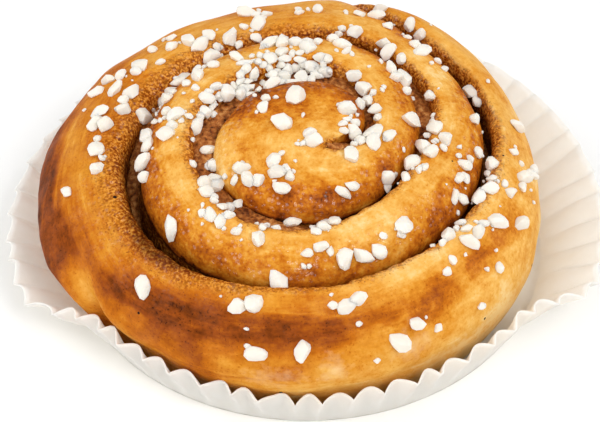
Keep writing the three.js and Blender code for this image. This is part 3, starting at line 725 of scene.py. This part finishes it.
class Finish:
    """A material in the making. What goes into its words is a number, a colour or what another gave back."""

    def __init__(self, name):
        self.material = bpy.data.materials.new(name)
        self.material.use_nodes = True
        self.tree = self.material.node_tree
        self.shader = self.tree.nodes["Principled BSDF"]
        self.places = self.add("ShaderNodeTexCoord").outputs["Object"]

    def feed(self, socket, value):
        """Links a socket to another one, or sets it to a plain value."""
        if isinstance(value, bpy.types.NodeSocket):
            self.tree.links.new(value, socket)
        else:
            socket.default_value = value

    def feed_all(self, node, inputs):
        for name, value in inputs.items():
            self.feed(node.inputs[name.replace("_", " ")], value)

    def add(self, kind, **inputs):
        node = self.tree.nodes.new(kind)
        self.feed_all(node, inputs)
        return node

    def put_on(self, piece, **inputs):
        """Feeds the shader and lays the finish on a piece."""
        self.feed_all(self.shader, inputs)
        piece.data.materials.append(self.material)
        print(self.material.name, "has", len(self.tree.nodes), "nodes")

    def figure(self, operation, first, second, clamp=False):
        node = self.add("ShaderNodeMath")
        node.operation = operation
        node.use_clamp = clamp
        self.feed(node.inputs[0], first)
        self.feed(node.inputs[1], second)
        return node.outputs[0]

    def plus(self, first, second, clamp=False):
        return self.figure("ADD", first, second, clamp)

    def minus(self, first, second):
        return self.figure("SUBTRACT", first, second)

    def times(self, first, second, clamp=False):
        return self.figure("MULTIPLY", first, second, clamp)

    def above(self, value, level, gain):
        """How far a value is over a level, times a gain, and never under 0 or over 1."""
        return self.times(self.minus(value, level), gain, clamp=True)

    def mix(self, share, first, second):
        """A share of the way from the first colour to the second."""
        node = self.add("ShaderNodeMix")
        node.data_type = "RGBA"
        ends = {end.identifier: end for end in (*node.inputs, *node.outputs)}
        self.feed(ends["Factor_Float"], share)
        self.feed(ends["A_Color"], first)
        self.feed(ends["B_Color"], second)
        return ends["Result_Color"]

    def ramp(self, share, steps):
        """A colour ramp with a colour at each share."""
        node = self.add("ShaderNodeValToRGB", Fac=share)
        elements = node.color_ramp.elements
        for index, (at, colour) in enumerate(steps):
            element = elements[index] if index < 2 else elements.new(at)
            element.position = at
            element.color = colour
        return node.outputs["Color"]

    def mark(self, name):
        """A mark that the vertices carry."""
        node = self.add("ShaderNodeAttribute")
        node.attribute_name = name
        return node.outputs["Fac"]

    def cloud(self, size, detail, places=None):
        """Noise with lumps of about this size in metres, from 0 to 1."""
        where = self.places if places is None else places
        return self.add("ShaderNodeTexNoise", Vector=where, Scale=1 / size, Detail=detail).outputs["Fac"]

    def around(self, noise_value, strength, middle=0.0):
        """Noise from 0 to 1, made to swing to both sides of a middle value."""
        swung = self.times(self.minus(noise_value, 0.5), strength)
        return self.plus(swung, middle) if middle else swung

    def swing(self, size, detail, strength, middle=0.0):
        return self.around(self.cloud(size, detail), strength, middle)

    def streaks(self, length, width):
        """Noise that is drawn out along the strip of dough, from 0 to 1. Its sizes are in millimetres."""
        along = self.figure("DIVIDE", self.mark("along"), length)
        across = self.figure("DIVIDE", self.mark("from_inner"), width)
        strand = self.add("ShaderNodeCombineXYZ", X=along, Y=across).outputs["Vector"]
        return self.cloud(1, 4, strand)

    def specks(self, spacing, size, share):
        """Dots of up to a size, as a part of their spacing, in a share of the places where one could be."""
        cells = self.add("ShaderNodeTexVoronoi", Vector=self.places, Scale=1 / spacing)
        draws = self.add("ShaderNodeSeparateColor", Color=cells.outputs["Color"]).outputs
        near = self.figure("LESS_THAN", cells.outputs["Distance"], self.times(draws["Green"], size))
        return self.times(near, self.figure("LESS_THAN", draws["Red"], share))

    def dust(self, size, amount):
        """Ragged specks of about this size, from a few where the amount is 0 to nearly all over at 1."""
        level = self.plus(self.cloud(size, 2), self.times(amount, DUST_GAIN))
        return self.above(level, *DUST_ABOVE)

    def bumps(self, height, depth, strength, over=None):
        """Relief in the shading alone, over other bumps where they are given."""
        node = self.add("ShaderNodeBump", Height=height, Distance=depth, Strength=strength)
        if over is not None:
            self.feed(node.inputs["Normal"], over)
        return node.outputs["Normal"]


# %% [markdown]
# ## The finish of the crust
# Egg wash bakes to a thin satin glaze over a crust that runs from pale gold to dark chestnut. The mark of
# browning, which also carries painted sheen on the crests, painted light on the right and painted shade
# deep in the seam, is broken up by noise and picks the colour on a ramp. Where the cinnamon mark is high,
# brown stain and dark grains lie on top, and the surface is wetter and rougher in relief. The lips are
# nearly black where they go down into the seam, partly from cinnamon and partly as painted shade. On the
# flanks the glaze has gathered in small beads, which catch the light, and syrup has dried pale on the side.
# Each swing below is a size of noise, its detail, its strength and, where it isn't 0, its middle. What
# shows above a level is given by the level and a gain.

# %% Crust colours and grain
CRUST_STEPS = [
    (0.0, screen_colour(242, 206, 140)),
    (0.2, screen_colour(236, 180, 90)),
    (0.42, screen_colour(220, 146, 46)),
    (0.6, screen_colour(194, 108, 22)),
    (0.78, screen_colour(150, 72, 20)),
    (1.0, screen_colour(40, 16, 6)),
]
STAIN_STEPS = [
    (0.3, screen_colour(112, 44, 4)),
    (0.5, screen_colour(180, 100, 22)),
    (0.68, screen_colour(230, 158, 66)),
]
CINNAMON_GRAIN = screen_colour(140, 62, 14)
# Near-black brown of the lips deep in the seam: partly cinnamon, partly painted shade.
SEAM_BROWN_AND_SHADE = screen_colour(72, 26, 2)
CARDAMOM = screen_colour(42, 26, 18)
DRIED_SYRUP = screen_colour(246, 218, 172)
CRUST_SWINGS = [(7 * MM, 4, 0.5), (2.2 * MM, 4, 0.5), (0.7 * MM, 4, 0.36)]
CRUST_STREAKS = [(11, 1.3, 0.3), (3.5, 0.4, 0.14)]
FRECKLE_SIZE = 0.42 * MM
FRECKLE_PATCH = 7 * MM
FRECKLE_AMOUNT = 0.3
FRECKLE_TONE = 0.13
STRETCH_MARKS = (12, 1.6)
STRETCH_ABOVE = (0.56, 0.9)
STAIN_SWING = (1.6 * MM, 4, 0.9)
STAIN_ABOVE = (0.45, 1.7)
STAIN_GRAIN_SWING = (0.55 * MM, 3, 1.6, 0.5)
GRAIN_DUST = 0.5 * MM
GRAIN_AMOUNT = 0.38
GRAIN_GAIN = 1.6
GRAIN_COVER = 0.75
DEEP_SWING = (0.9 * MM, 3, 1.8, 0.7)
SYRUP_SWING = (2.5 * MM, 5, 1.6)
SYRUP_ABOVE = (0.6, 1.2)
SYRUP_COVER = 0.5
CARDAMOM_SPECKS = (5.5 * MM, 0.075, 0.22)


def crust_tone(finish):
    """How brown the crust is, with its painted light and shade, broken up by clouds, streaks along the
    strip, freckles and stretch marks.
    """
    tone = finish.mark("browning_and_painted_light")
    mottling = finish.mark("mottling")
    for crust_swing in CRUST_SWINGS:
        tone = finish.plus(tone, finish.times(finish.swing(*crust_swing), mottling))
    for length, width, strength in CRUST_STREAKS:
        tone = finish.plus(tone, finish.around(finish.streaks(length, width), strength))
    freckles = finish.dust(FRECKLE_SIZE, finish.times(finish.cloud(FRECKLE_PATCH, 2), FRECKLE_AMOUNT))
    tone = finish.plus(tone, finish.times(freckles, FRECKLE_TONE))
    return finish.minus(tone, finish.above(finish.streaks(*STRETCH_MARKS), *STRETCH_ABOVE))


def crust_colour(finish, stain):
    """Baked browns, partly painted light and shade, with stain, cinnamon grains, dark lips, dried syrup and
    cardamom over them in turn. The dark lips are partly cinnamon and partly painted shade.
    """
    colour = finish.ramp(crust_tone(finish), CRUST_STEPS)
    stained = finish.above(finish.plus(stain, finish.swing(*STAIN_SWING)), *STAIN_ABOVE)
    colour = finish.mix(stained, colour, finish.ramp(finish.swing(*STAIN_GRAIN_SWING), STAIN_STEPS))
    dust = finish.dust(GRAIN_DUST, finish.times(stain, GRAIN_AMOUNT))
    dust = finish.times(dust, finish.times(stain, GRAIN_GAIN, clamp=True))
    colour = finish.mix(finish.times(dust, GRAIN_COVER), colour, CINNAMON_GRAIN)
    # Painted shade over the cinnamon-dark lips deep in the seam.
    shade = finish.times(finish.mark("deep"), finish.swing(*DEEP_SWING), clamp=True)
    colour = finish.mix(shade, colour, SEAM_BROWN_AND_SHADE)
    smears = finish.plus(finish.mark("syrup"), finish.swing(*SYRUP_SWING))
    smears = finish.times(finish.above(smears, *SYRUP_ABOVE), SYRUP_COVER)
    colour = finish.mix(smears, colour, DRIED_SYRUP)
    return finish.mix(finish.specks(*CARDAMOM_SPECKS), colour, CARDAMOM)


# %% Crust gloss and relief
DULL_SWING = (3 * MM, 3, 0.25, 0.5)
STAIN_SHINE = 0.12
GLOSS_SWING = (5 * MM, 3, 0.3, 0.03)
GLAZE_BEADS = (0.9 * MM, 0.55, 0.75)

crust = Finish("egg_washed_crust")
stain = crust.mark("cinnamon")
beads = crust.times(crust.specks(*GLAZE_BEADS), crust.mark("wet"))
pores = crust.bumps(crust.cloud(0.5 * MM, 3), depth=0.14 * MM, strength=0.6)
pores = crust.bumps(crust.streaks(4, 0.5), depth=0.2 * MM, strength=0.35, over=pores)
stain_crumbs = crust.times(crust.cloud(0.7 * MM, 2), stain)
rough = crust.bumps(stain_crumbs, depth=0.35 * MM, strength=0.8, over=pores)
glints = crust.bumps(crust.cloud(0.6 * MM, 2), depth=0.4 * MM, strength=1.0, over=rough)
crust.put_on(
    dough,
    Base_Color=crust_colour(crust, stain),
    Roughness=crust.minus(crust.swing(*DULL_SWING), crust.times(stain, STAIN_SHINE)),
    Specular_IOR_Level=0.02,
    Coat_Weight=crust.plus(crust.swing(*GLOSS_SWING), beads, clamp=True),
    Coat_Roughness=0.12,
    Coat_IOR=1.9,
    Normal=rough,
    Coat_Normal=glints,
)

# %% [markdown]
# ## The filling in the seam
# Cinnamon, sugar and butter bake into a grainy paste that stands in the seam, a little under the lips and
# deeper where the seam gapes. It is a ribbon, so it is another grid: a row for each place along the seam and
# a column for each place over its top. Noise makes the top lumpy.

# %% Filling ribbon
FILLING_FROM = SEAM_START + 5
FILLING_TO = 786
FILLING_STEP = 0.5 * MM
FILLING_FOOT_HALF = 0.7 * MM
FILLING_BITE = 0.25 * MM
FILLING_SINK = 0.9 * MM
FILLING_HOLLOWS = [
    (-48, -1.3 * MM, 22),
    (308, 3.6 * MM, 30),
    (586, 11 * MM, 34),
    (650, 4 * MM, 40),
    (712, 6 * MM, 32),
    (748, 3 * MM, 22),
]
FILLING_TOP_POINTS = 17
FILLING_DOME = 0.7 * MM
PASTE_LUMPS = [(2.6 * MM, 0.6 * MM, 41), (1.1 * MM, 0.35 * MM, 42)]
START_MOUND = [(SEAM_START + 8, 1.1 * MM, 14)]


def filling_sink(turn):
    return FILLING_SINK + bells(turn, FILLING_HOLLOWS)


def filling_height(turn):
    return (Cut(turn).outer_edge + Cut(turn + 360).inner_edge) / 2 - filling_sink(turn)


along = even_turns(FILLING_FROM, FILLING_TO, FILLING_STEP)[:, None]
top_height = filling_height(along)
sunk = np.clip(filling_sink(along) / THROAT_DEPTH, 0, 1)
half = lerp(mouth(along), THROAT * open_share(along), sunk) + FILLING_BITE
over_top = np.linspace(-1, 1, FILLING_TOP_POINTS)
top_plan = on_roll(along, seam_radius(along) + half * over_top)
top_places = lift(top_plan, top_height - FILLING_DOME * over_top**2)
top_places[..., 2] += noise_layers(top_places, PASTE_LUMPS) + bells(along, START_MOUND)
foot_plans = [on_roll(along, seam_radius(along) + way * FILLING_FOOT_HALF) for way in (-1, 1)]
left_foot, right_foot = [lift(plan, BASE_Z) for plan in foot_plans]
left_side, right_side = [lift(plan, top_height - 2 * FILLING_DOME) for plan in foot_plans]
ribbon = np.concatenate([left_foot, left_side, top_places, right_side, right_foot, left_foot], axis=1)
filling_sheet = rolled_grid(ribbon, {})
close_ends(filling_sheet)
filling = piece_from(filling_sheet, "filling")

# %% Filling material
PASTE_STEPS = [
    (0.25, screen_colour(88, 40, 14)),
    (0.5, screen_colour(178, 106, 48)),
    (0.75, screen_colour(230, 166, 96)),
]
PASTE_SWING = (0.9 * MM, 4, 1.2, 0.5)
PASTE_PATCH_SWING = (6 * MM, 2, 0.5)
PASTE_DULL_SWING = (0.8 * MM, 2, 0.5, 0.45)
PASTE_DUST = (0.45 * MM, 0.35)
PASTE_DUST_COVER = 0.7

paste = Finish("cinnamon_paste")
paste_tone = paste.plus(paste.swing(*PASTE_SWING), paste.swing(*PASTE_PATCH_SWING))
paste_dust = paste.times(paste.dust(*PASTE_DUST), PASTE_DUST_COVER)
paste.put_on(
    filling,
    Base_Color=paste.mix(paste_dust, paste.ramp(paste_tone, PASTE_STEPS), CINNAMON_GRAIN),
    Roughness=paste.swing(*PASTE_DULL_SWING),
    Specular_IOR_Level=0.12,
    Normal=paste.bumps(paste.cloud(0.6 * MM, 4), depth=0.6 * MM, strength=0.9),
)

# %% [markdown]
# ## Pearl sugar
# Pearl sugar is pressed sugar broken into small white lumps that don't melt in the oven. It was thrown on by
# the handful, so each handful covers a stretch of the strip, and a seeded draw lays its grains there. The
# larger grains are where the solid model has them, because the draws are the same. Some grains fell into the
# seam and lie on the filling. A grain is a ball with flat chips broken off it, and some of the chips lie
# about as crumbs. Particles could strew them too, but not each at its place.

# %% Where the grains lie
# Kinds: the least size, the largest size, and how far small grains outnumber large ones.
MIXED = (1.7 * MM, 3.9 * MM, 1.3)
COARSE = (3.5 * MM, 4.4 * MM, 1.0)
# Handfuls: where they lie, in turns, in shares across the strip, the number of grains and their kind.
HANDFULS = [
    ("start of the roll", (-22, 50), (0.42, 0.95), 8, MIXED),
    ("back of the hook", (112, 155), (0.7, 0.98), 4, MIXED),
    ("crest of the hook", (104, 110), (0.65, 0.7), 1, COARSE),
    ("middle of the hook", (155, 165), (0.45, 0.5), 1, COARSE),
    ("top of the hook", (125, 236), (0.1, 0.25), 3, MIXED),
    ("lower left of the hook", (224, 258), (0.5, 1.0), 9, MIXED),
    ("front of the hook", (290, 304), (0.66, 0.84), 2, MIXED),
    ("below the start", (303, 324), (0.34, 0.46), 2, COARSE),
    ("right of the start", (314, 350), (0.06, 0.47), 6, MIXED),
    ("right lip of the hook", (318, 330), (0.94, 1.0), 2, MIXED),
    ("right crest of the hook", (364, 370), (0.76, 0.8), 1, COARSE),
    ("across from the start", (360, 412), (-0.05, 0.14), 6, MIXED),
    ("right lip of the second turn", (388, 406), (0.72, 0.97), 4, MIXED),
    ("heap in the back seam", (428, 500), (-0.1, 0.12), 22, MIXED),
    ("back of the second turn", (424, 470), (0.33, 0.8), 9, MIXED),
    ("back left of the second turn", (482, 550), (0.4, 0.7), 9, MIXED),
    ("heap in the left seam", (500, 540), (-0.1, 0.16), 11, MIXED),
    ("left lip of the second turn", (500, 560), (0.8, 0.98), 9, MIXED),
    ("lower left seam", (562, 622), (-0.08, 0.2), 10, MIXED),
    ("lower left of the second turn", (584, 616), (0.35, 0.5), 5, MIXED),
    ("lower left lip", (582, 587), (0.89, 0.93), 1, COARSE),
    ("front lip of the second turn", (624, 628), (0.95, 0.98), 1, COARSE),
    ("front of the second turn", (630, 670), (0.5, 0.87), 9, MIXED),
    ("front seam", (632, 650), (-0.08, 0.25), 3, MIXED),
    ("inner right of the turn", (674, 745), (-0.08, 0.36), 12, MIXED),
    ("outer right of the turn", (686, 742), (0.74, 1.0), 8, MIXED),
    ("back right of the third turn", (753, 796), (0.4, 0.72), 8, MIXED),
    ("back right seam", (766, 798), (0.0, 0.13), 6, MIXED),
    ("back right lip", (1134, 1150), (0.05, 0.13), 3, MIXED),
    ("back edge", (802, 828), (0.24, 0.55), 6, MIXED),
    ("back lip of the outer turn", (814, 850), (0.03, 0.28), 10, MIXED),
    ("back left crest", (846, 880), (0.22, 0.62), 11, MIXED),
    ("left crest", (874, 911), (0.17, 0.45), 9, MIXED),
    ("left seam", (862, 892), (-0.06, 0.12), 4, MIXED),
    ("left side", (912, 918), (0.6, 0.65), 1, MIXED),
    ("front left crest", (948, 954), (0.57, 0.63), 1, COARSE),
    ("left of the front crest", (974, 979), (0.2, 0.46), 2, COARSE),
    ("front wall", (980, 992), (0.84, 0.96), 2, COARSE),
    ("front crest", (997, 1008), (0.33, 0.42), 3, MIXED),
    ("front right wall", (1010, 1050), (0.78, 0.99), 5, MIXED),
    ("front right crest", (1022, 1056), (0.05, 0.62), 11, MIXED),
    ("right shoulder", (1060, 1064), (0.75, 0.79), 1, COARSE),
    ("right of the outer turn", (1066, 1096), (0.34, 0.95), 9, MIXED),
    ("right seam", (1060, 1080), (-0.06, 0.12), 5, MIXED),
    ("far right seam", (1106, 1113), (-0.07, -0.03), 2, MIXED),
    ("top of the heap", (444, 488), (0.1, 0.32), 12, MIXED),
]
SEAM_HANDFULS = [
    ("behind the hook", (66, 142), 20, MIXED),
    ("left of the hook", (148, 200), 2, MIXED),
    ("lower left of the hook", (206, 256), 9, MIXED),
    ("front of the hook", (266, 296), 5, MIXED),
    ("left of the second turn", (492, 520), 4, MIXED),
]
GRAIN_SEED = 2024
SEAM_SEED = 31
GRAIN_CROWDING = 0.62
GRAIN_TRIES = 8
GRAIN_UPRIGHT = 0.6
NEARBY_TURN = 0.5
NEARBY_SHARE = 0.01
UPRIGHT = np.array([0.0, 0.0, 1.0])

Grain = namedtuple("Grain", "place normal size spin seed turn share")


def draws_from(seed):
    """A small repeatable source of random numbers from 0 to 1, the same as the solid model's."""
    state = seed
    while True:
        state = (state * 1664525 + 1013904223) % 4294967296
        yield state / 4294967296


def top_normal(turn, share):
    """The direction out of the top, eased towards upright, as a grain that lies on a lip does."""
    before, here, after = [Cut(np.array(turn + step)) for step in (-NEARBY_TURN, 0, NEARBY_TURN)]
    across = here.top(share + NEARBY_SHARE) - here.top(share - NEARBY_SHARE)
    normal = np.cross(across, after.top(share) - before.top(share))
    eased = normal / np.linalg.norm(normal) + GRAIN_UPRIGHT * UPRIGHT
    return eased / np.linalg.norm(eased)


def next_grain(draws, kind):
    """The size, the spin and the seed of the next grain of a kind."""
    least, largest, skew = kind
    size = lerp(least, largest, next(draws) ** skew)
    spin = 360 * next(draws)
    seed = math.floor(1e6 * next(draws))
    return size, spin, seed


def sugar_grains():
    """Every grain that was thrown on and found room."""
    draws = draws_from(GRAIN_SEED)
    grains = []
    for _, turns_of, shares_of, count, kind in HANDFULS:
        for _ in range(count):
            size, spin, seed = next_grain(draws, kind)
            for _ in range(GRAIN_TRIES):
                turn_at = lerp(*turns_of, next(draws))
                share = lerp(*shares_of, next(draws))
                place = Cut(np.array(turn_at)).top(share)
                near = [np.linalg.norm(place - other.place) < 0.5 * GRAIN_CROWDING * (size + other.size)
                        for other in grains]
                if not any(near):
                    normal = top_normal(turn_at, share)
                    grains.append(Grain(place, normal, size, spin, seed, turn_at, share))
                    break
    return grains


def seam_grains():
    """Grains that fell into the seam and lie on the filling."""
    draws = draws_from(SEAM_SEED)
    found = []
    for _, turns_of, count, kind in SEAM_HANDFULS:
        for _ in range(count):
            size, spin, seed = next_grain(draws, kind)
            turn_at = lerp(*turns_of, next(draws))
            radius = seam_radius(turn_at) + mouth(turn_at) * lerp(-1, 1, next(draws))
            place = lift(on_roll(turn_at, radius), filling_height(np.array(turn_at)))
            found.append(Grain(place, UPRIGHT, size, spin, seed, turn_at + 360, 0.0))
    return found


grains = sugar_grains()
fallen = seam_grains()
print(len(grains), "grains of sugar on the crust and", len(fallen), "in the seam")

# %% Crumbs that broke off the grains
CRUMB_SEED = 77
CRUMBS_EACH = 2
CRUMB_CHANCE = 0.3
CRUMB = (0.5 * MM, 1.4 * MM, 1.0)
CRUMB_AWAY = (0.65, 1.5)
CRUMB_SHARES = (-0.06, 0.98)


def sugar_crumbs(grains):
    """Crumbs that lie on the crust a little way from the grain that they broke off."""
    draws = draws_from(CRUMB_SEED)
    crumbs = []
    for grain in [grain for grain in grains for _ in range(CRUMBS_EACH)]:
        heading = 2 * math.pi * next(draws)
        away = grain.size * lerp(*CRUMB_AWAY, next(draws))
        size, spin, seed = next_grain(draws, CRUMB)
        if next(draws) < CRUMB_CHANCE:
            radius = np.linalg.norm(grain.place[:2] - ROLL_CENTRE)
            turn_at = grain.turn + math.degrees(away * math.cos(heading) / radius)
            here = Cut(np.array(turn_at))
            share = float(np.clip(grain.share + away * math.sin(heading) / here.width, *CRUMB_SHARES))
            normal = top_normal(turn_at, share)
            crumbs.append(Grain(here.top(share), normal, size, spin, seed, turn_at, share))
    return crumbs


crumbs = sugar_crumbs(grains)
print(len(crumbs), "crumbs beside them")

# %% One grain
GRAIN_LENGTH = (1.0, 1.35)
GRAIN_WIDTH = (0.78, 1.0)
GRAIN_HEIGHT = (0.6, 0.85)
GRAIN_ROUND = 1.12
GRAIN_CHIPS = 11
CHIP_KEEPS = (0.64, 0.92)
GRAIN_RISE = 0.14
GRAIN_TILT = 16
GRAIN_TONES = 1000
SHARP_EDGE = math.radians(30)


def grain_lump(seed, size, spin):
    """One lump about its own middle: a coarse ball that is chipped flat all round."""
    draws = draws_from(seed)
    lump = bmesh.new()
    bmesh.ops.create_icosphere(lump, subdivisions=2, radius=GRAIN_ROUND)
    for _ in range(GRAIN_CHIPS):
        chip = Vector([2 * next(draws) - 1 for _ in range(3)]).normalized()
        keep = lerp(*CHIP_KEEPS, next(draws))
        for vert in lump.verts:
            vert.co -= max(0, vert.co.dot(chip) - keep) * chip
    stretch = [lerp(*sides, next(draws)) for sides in (GRAIN_LENGTH, GRAIN_WIDTH, GRAIN_HEIGHT)]
    bmesh.ops.scale(lump, verts=lump.verts, vec=Vector(stretch) * size / 2)
    tilt = [math.radians(GRAIN_TILT * (2 * next(draws) - 1)) for _ in range(2)]
    turning = Euler((*tilt, math.radians(spin))).to_matrix()
    bmesh.ops.rotate(lump, verts=lump.verts, cent=(0, 0, 0), matrix=turning)
    return lump


# %% All the grains in one piece
sugar_sheet = bmesh.new()
sugar_sheet.verts.layers.float.new("tone")
for grain in grains + fallen + crumbs:
    lump = grain_lump(grain.seed, grain.size, grain.spin)
    stand = Vector(grain.normal).to_track_quat("Z", "Y").to_matrix()
    seat = Vector(grain.place + grain.normal * (lumps(grain.place) + GRAIN_RISE * grain.size))
    bmesh.ops.rotate(lump, verts=lump.verts, cent=(0, 0, 0), matrix=stand)
    bmesh.ops.translate(lump, verts=lump.verts, vec=seat)
    own_tone = lump.verts.layers.float.new("tone")
    for vert in lump.verts:
        vert[own_tone] = (grain.seed % GRAIN_TONES) / GRAIN_TONES
    lump_mesh = bpy.data.meshes.new("lump")
    lump.to_mesh(lump_mesh)
    lump.free()
    sugar_sheet.from_mesh(lump_mesh)
    bpy.data.meshes.remove(lump_mesh)
bmesh.ops.recalc_face_normals(sugar_sheet, faces=sugar_sheet.faces)
for chip_edge in sugar_sheet.edges:
    chip_edge.smooth = chip_edge.calc_face_angle() < SHARP_EDGE
pearl_sugar = piece_from(sugar_sheet, "pearl_sugar")

# %% Sugar material
WHITE_SUGAR = screen_colour(238, 233, 223)
WARM_SUGAR = screen_colour(228, 218, 200)
WARM_SHARE = 0.35

sugar = Finish("pearl_sugar")
sugar.put_on(
    pearl_sugar,
    Base_Color=sugar.mix(sugar.times(sugar.mark("tone"), WARM_SHARE), WHITE_SUGAR, WARM_SUGAR),
    Roughness=0.5,
    Subsurface_Weight=0.5,
    Subsurface_Radius=(1.0, 0.9, 0.75),
    Subsurface_Scale=1.2 * MM,
    Normal=sugar.bumps(sugar.cloud(0.6 * MM, 3), depth=0.2 * MM, strength=0.5),
)

# %% [markdown]
# ## The paper case
# The case is a disc of thin paper pressed into pleats. At the front it still stands up against the bun, and
# at the sides and the back it has spread flat. One more grid makes it: a row for each height up the wall and
# a column for each place round it, with the pleats as a wave that deepens towards the rim. A Solidify
# modifier gives the sheet its thickness.

# %% Paper wall and floor
CASE_CENTRE = np.array([-0.4, -3.35]) * MM
CASE_BASE_RADIUS = 49 * MM
CASE_WALL = 15.6 * MM
CASE_FRONT = 272
CASE_FRONT_LEAN = 22
CASE_SIDE_LEAN = 56
CASE_LEAN_RISE = (50, 20)
CASE_DENTS = [(150, -26, 20)]
CASE_DIPS = [(268, -3.6 * MM, 18)]
PLEATS = 58
PLEAT_DEPTH = 1.15 * MM
PLEAT_POINTS = 10
PLEAT_RING = np.array([4, 4, 0.6])
PLEAT_DRIFT = [(0.45, 0.28, 51)]
PLEAT_UNEVEN = [(0.3, 0.45, 52)]
PAPER_THICKNESS = 0.3 * MM
WALL_ROWS = 14
ROW_CROWDING = 1.2
FLOOR_SHARES = [0.0, 0.4, 0.8, 0.97]


def case_lean(compass):
    away = np.abs(past(compass, CASE_FRONT))
    lean = lerp(CASE_FRONT_LEAN, CASE_SIDE_LEAN, rise(away, *CASE_LEAN_RISE))
    return lean + compass_bells(compass, CASE_DENTS)


def pleat_wave(compass, row):
    """Folds from -1 to 1 with sharp ridges and round hollows, each a little different from the next."""
    ring = lift(direction(compass), row) * PLEAT_RING
    depth = 1 + noise_layers(ring, PLEAT_UNEVEN)
    half_turns = math.pi * (compass * PLEATS / 360 + noise_layers(ring, PLEAT_DRIFT))
    return depth * (1 - 2 * np.abs(np.sin(half_turns)))


compass_round = np.linspace(0, 360, PLEATS * PLEAT_POINTS + 1)[None, :]
wall_row = np.linspace(0, 1, WALL_ROWS)[:, None] ** ROW_CROWDING
compass_grid, row_grid = np.broadcast_arrays(compass_round, wall_row)
lean = np.radians(case_lean(compass_grid))
fold = PLEAT_DEPTH * row_grid * pleat_wave(compass_grid, row_grid)
wall = CASE_WALL + compass_bells(compass_grid, CASE_DIPS)
wall_radius = CASE_BASE_RADIUS + row_grid * wall * np.sin(lean) + fold * np.cos(lean)
wall_height = row_grid * wall * np.cos(lean) - fold * np.sin(lean)
floor_radius = CASE_BASE_RADIUS * np.array(FLOOR_SHARES)[:, None] + 0 * compass_round
case_radius = np.concatenate([floor_radius, wall_radius])
case_height = np.concatenate([np.zeros_like(floor_radius), np.maximum(wall_height, 0)])
case_places = lift(CASE_CENTRE + direction(compass_round) * case_radius[..., None], case_height)
case_sheet = rolled_grid(case_places, {})
bmesh.ops.recalc_face_normals(case_sheet, faces=case_sheet.faces)
upward = [face for face in case_sheet.faces if face.calc_center_median().z < WELD and face.normal.z > 0]
if upward:
    bmesh.ops.reverse_faces(case_sheet, faces=case_sheet.faces)
paper_case = piece_from(case_sheet, "paper_case")
thickness = paper_case.modifiers.new("paper thickness", "SOLIDIFY")
thickness.thickness = PAPER_THICKNESS
thickness.offset = -1

# %% Paper material
PAPER_STEPS = [(0.2, screen_colour(245, 236, 219)), (0.8, screen_colour(252, 247, 235))]
FIBRE_STRETCH = (1.0, 1.0, 0.25)
FIBRE_SIZE = 2.5 * MM

paper = Finish("pleated_paper")
fibre = paper.add("ShaderNodeMapping", Vector=paper.places, Scale=FIBRE_STRETCH).outputs["Vector"]
paper_tone = paper.around(paper.cloud(FIBRE_SIZE, 5, fibre), strength=0.6, middle=0.5)
paper.put_on(
    paper_case,
    Base_Color=paper.ramp(paper_tone, PAPER_STEPS),
    Roughness=0.75,
    Subsurface_Weight=0.8,
    Subsurface_Radius=(1.0, 1.0, 1.0),
    Subsurface_Scale=2 * MM,
    Normal=paper.bumps(paper.cloud(0.7 * MM, 4), depth=0.06 * MM, strength=0.5),
)

# %% [markdown]
# ## Camera, floor and light
# The camera looks down at the bun at 45 degrees through a long lens, as the photographer did. The floor is
# plain and nearly white. A bright world and five soft lamps light the bun from overhead and all round, with
# the small key lamp in front on the right.

# %% Camera
VIEW_TARGET = Vector((-1.8, -12.9, 18.45)) * MM
VIEW_ELEVATION = math.radians(45)
VIEW_DISTANCE = 454 * MM
LENS = 135
SENSOR_WIDTH = 36
NEAREST_SEEN = 10 * MM


def stand_at(item, place):
    """Puts the camera or a lamp at a place, turned towards the bun."""
    item.location = place
    item.rotation_euler = (VIEW_TARGET - Vector(place)).to_track_quat("-Z", "Y").to_euler()


camera_data = bpy.data.cameras.new("camera")
camera_data.lens = LENS
camera_data.sensor_width = SENSOR_WIDTH
camera_data.clip_start = NEAREST_SEEN
camera = add_object("camera", camera_data)
back = Vector((0, -math.cos(VIEW_ELEVATION), math.sin(VIEW_ELEVATION)))
stand_at(camera, VIEW_TARGET + VIEW_DISTANCE * back)
bpy.context.scene.camera = camera

# %% Floor
FLOOR_HALF = 2.0
FLOOR_COLOUR = (0.93, 0.93, 0.93, 1)

floor_sheet = bmesh.new()
bmesh.ops.create_grid(floor_sheet, x_segments=2, y_segments=2, size=FLOOR_HALF)
floor = piece_from(floor_sheet, "floor")
Finish("pale_floor").put_on(floor, Base_Color=FLOOR_COLOUR, Roughness=0.9)

# %% Lamps and world
LAMPS = [
    ("overhead", (0.0, 0.0, 1.3), 1.8, 4.2),
    ("key", (0.4, -0.6, 0.8), 0.4, 3.3),
    ("front", (-0.6, -0.9, 0.45), 0.8, 2.9),
    ("left", (-0.8, 0.1, 0.6), 0.8, 2.9),
    ("right", (0.8, 0.2, 0.6), 0.8, 2.7),
]
WORLD_STRENGTH = 0.46

for name, place, size, power in LAMPS:
    lamp_data = bpy.data.lights.new(name, "AREA")
    lamp_data.shape = "DISK"
    lamp_data.size = size
    lamp_data.energy = power
    stand_at(add_object(name, lamp_data), place)

world = bpy.data.worlds.new("studio")
world.use_nodes = True
background = world.node_tree.nodes["Background"]
background.inputs["Color"].default_value = (1, 1, 1, 1)
background.inputs["Strength"].default_value = WORLD_STRENGTH
bpy.context.scene.world = world
bpy.context.scene.view_settings.view_transform = "Standard"

# %% [markdown]
# ## Hand the pieces over
# Every piece rides on the bun's one body and stands for the solid that it dresses.

# %% Ride and replace
PIECES = [
    (dough, "dough", "crust"),
    (filling, "filling", "filling"),
    (paper_case, "paper_case", "paper"),
]
for piece, node, slot in PIECES:
    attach(piece, "root")
    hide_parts(node)
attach(pearl_sugar, "root")
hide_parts("dough")
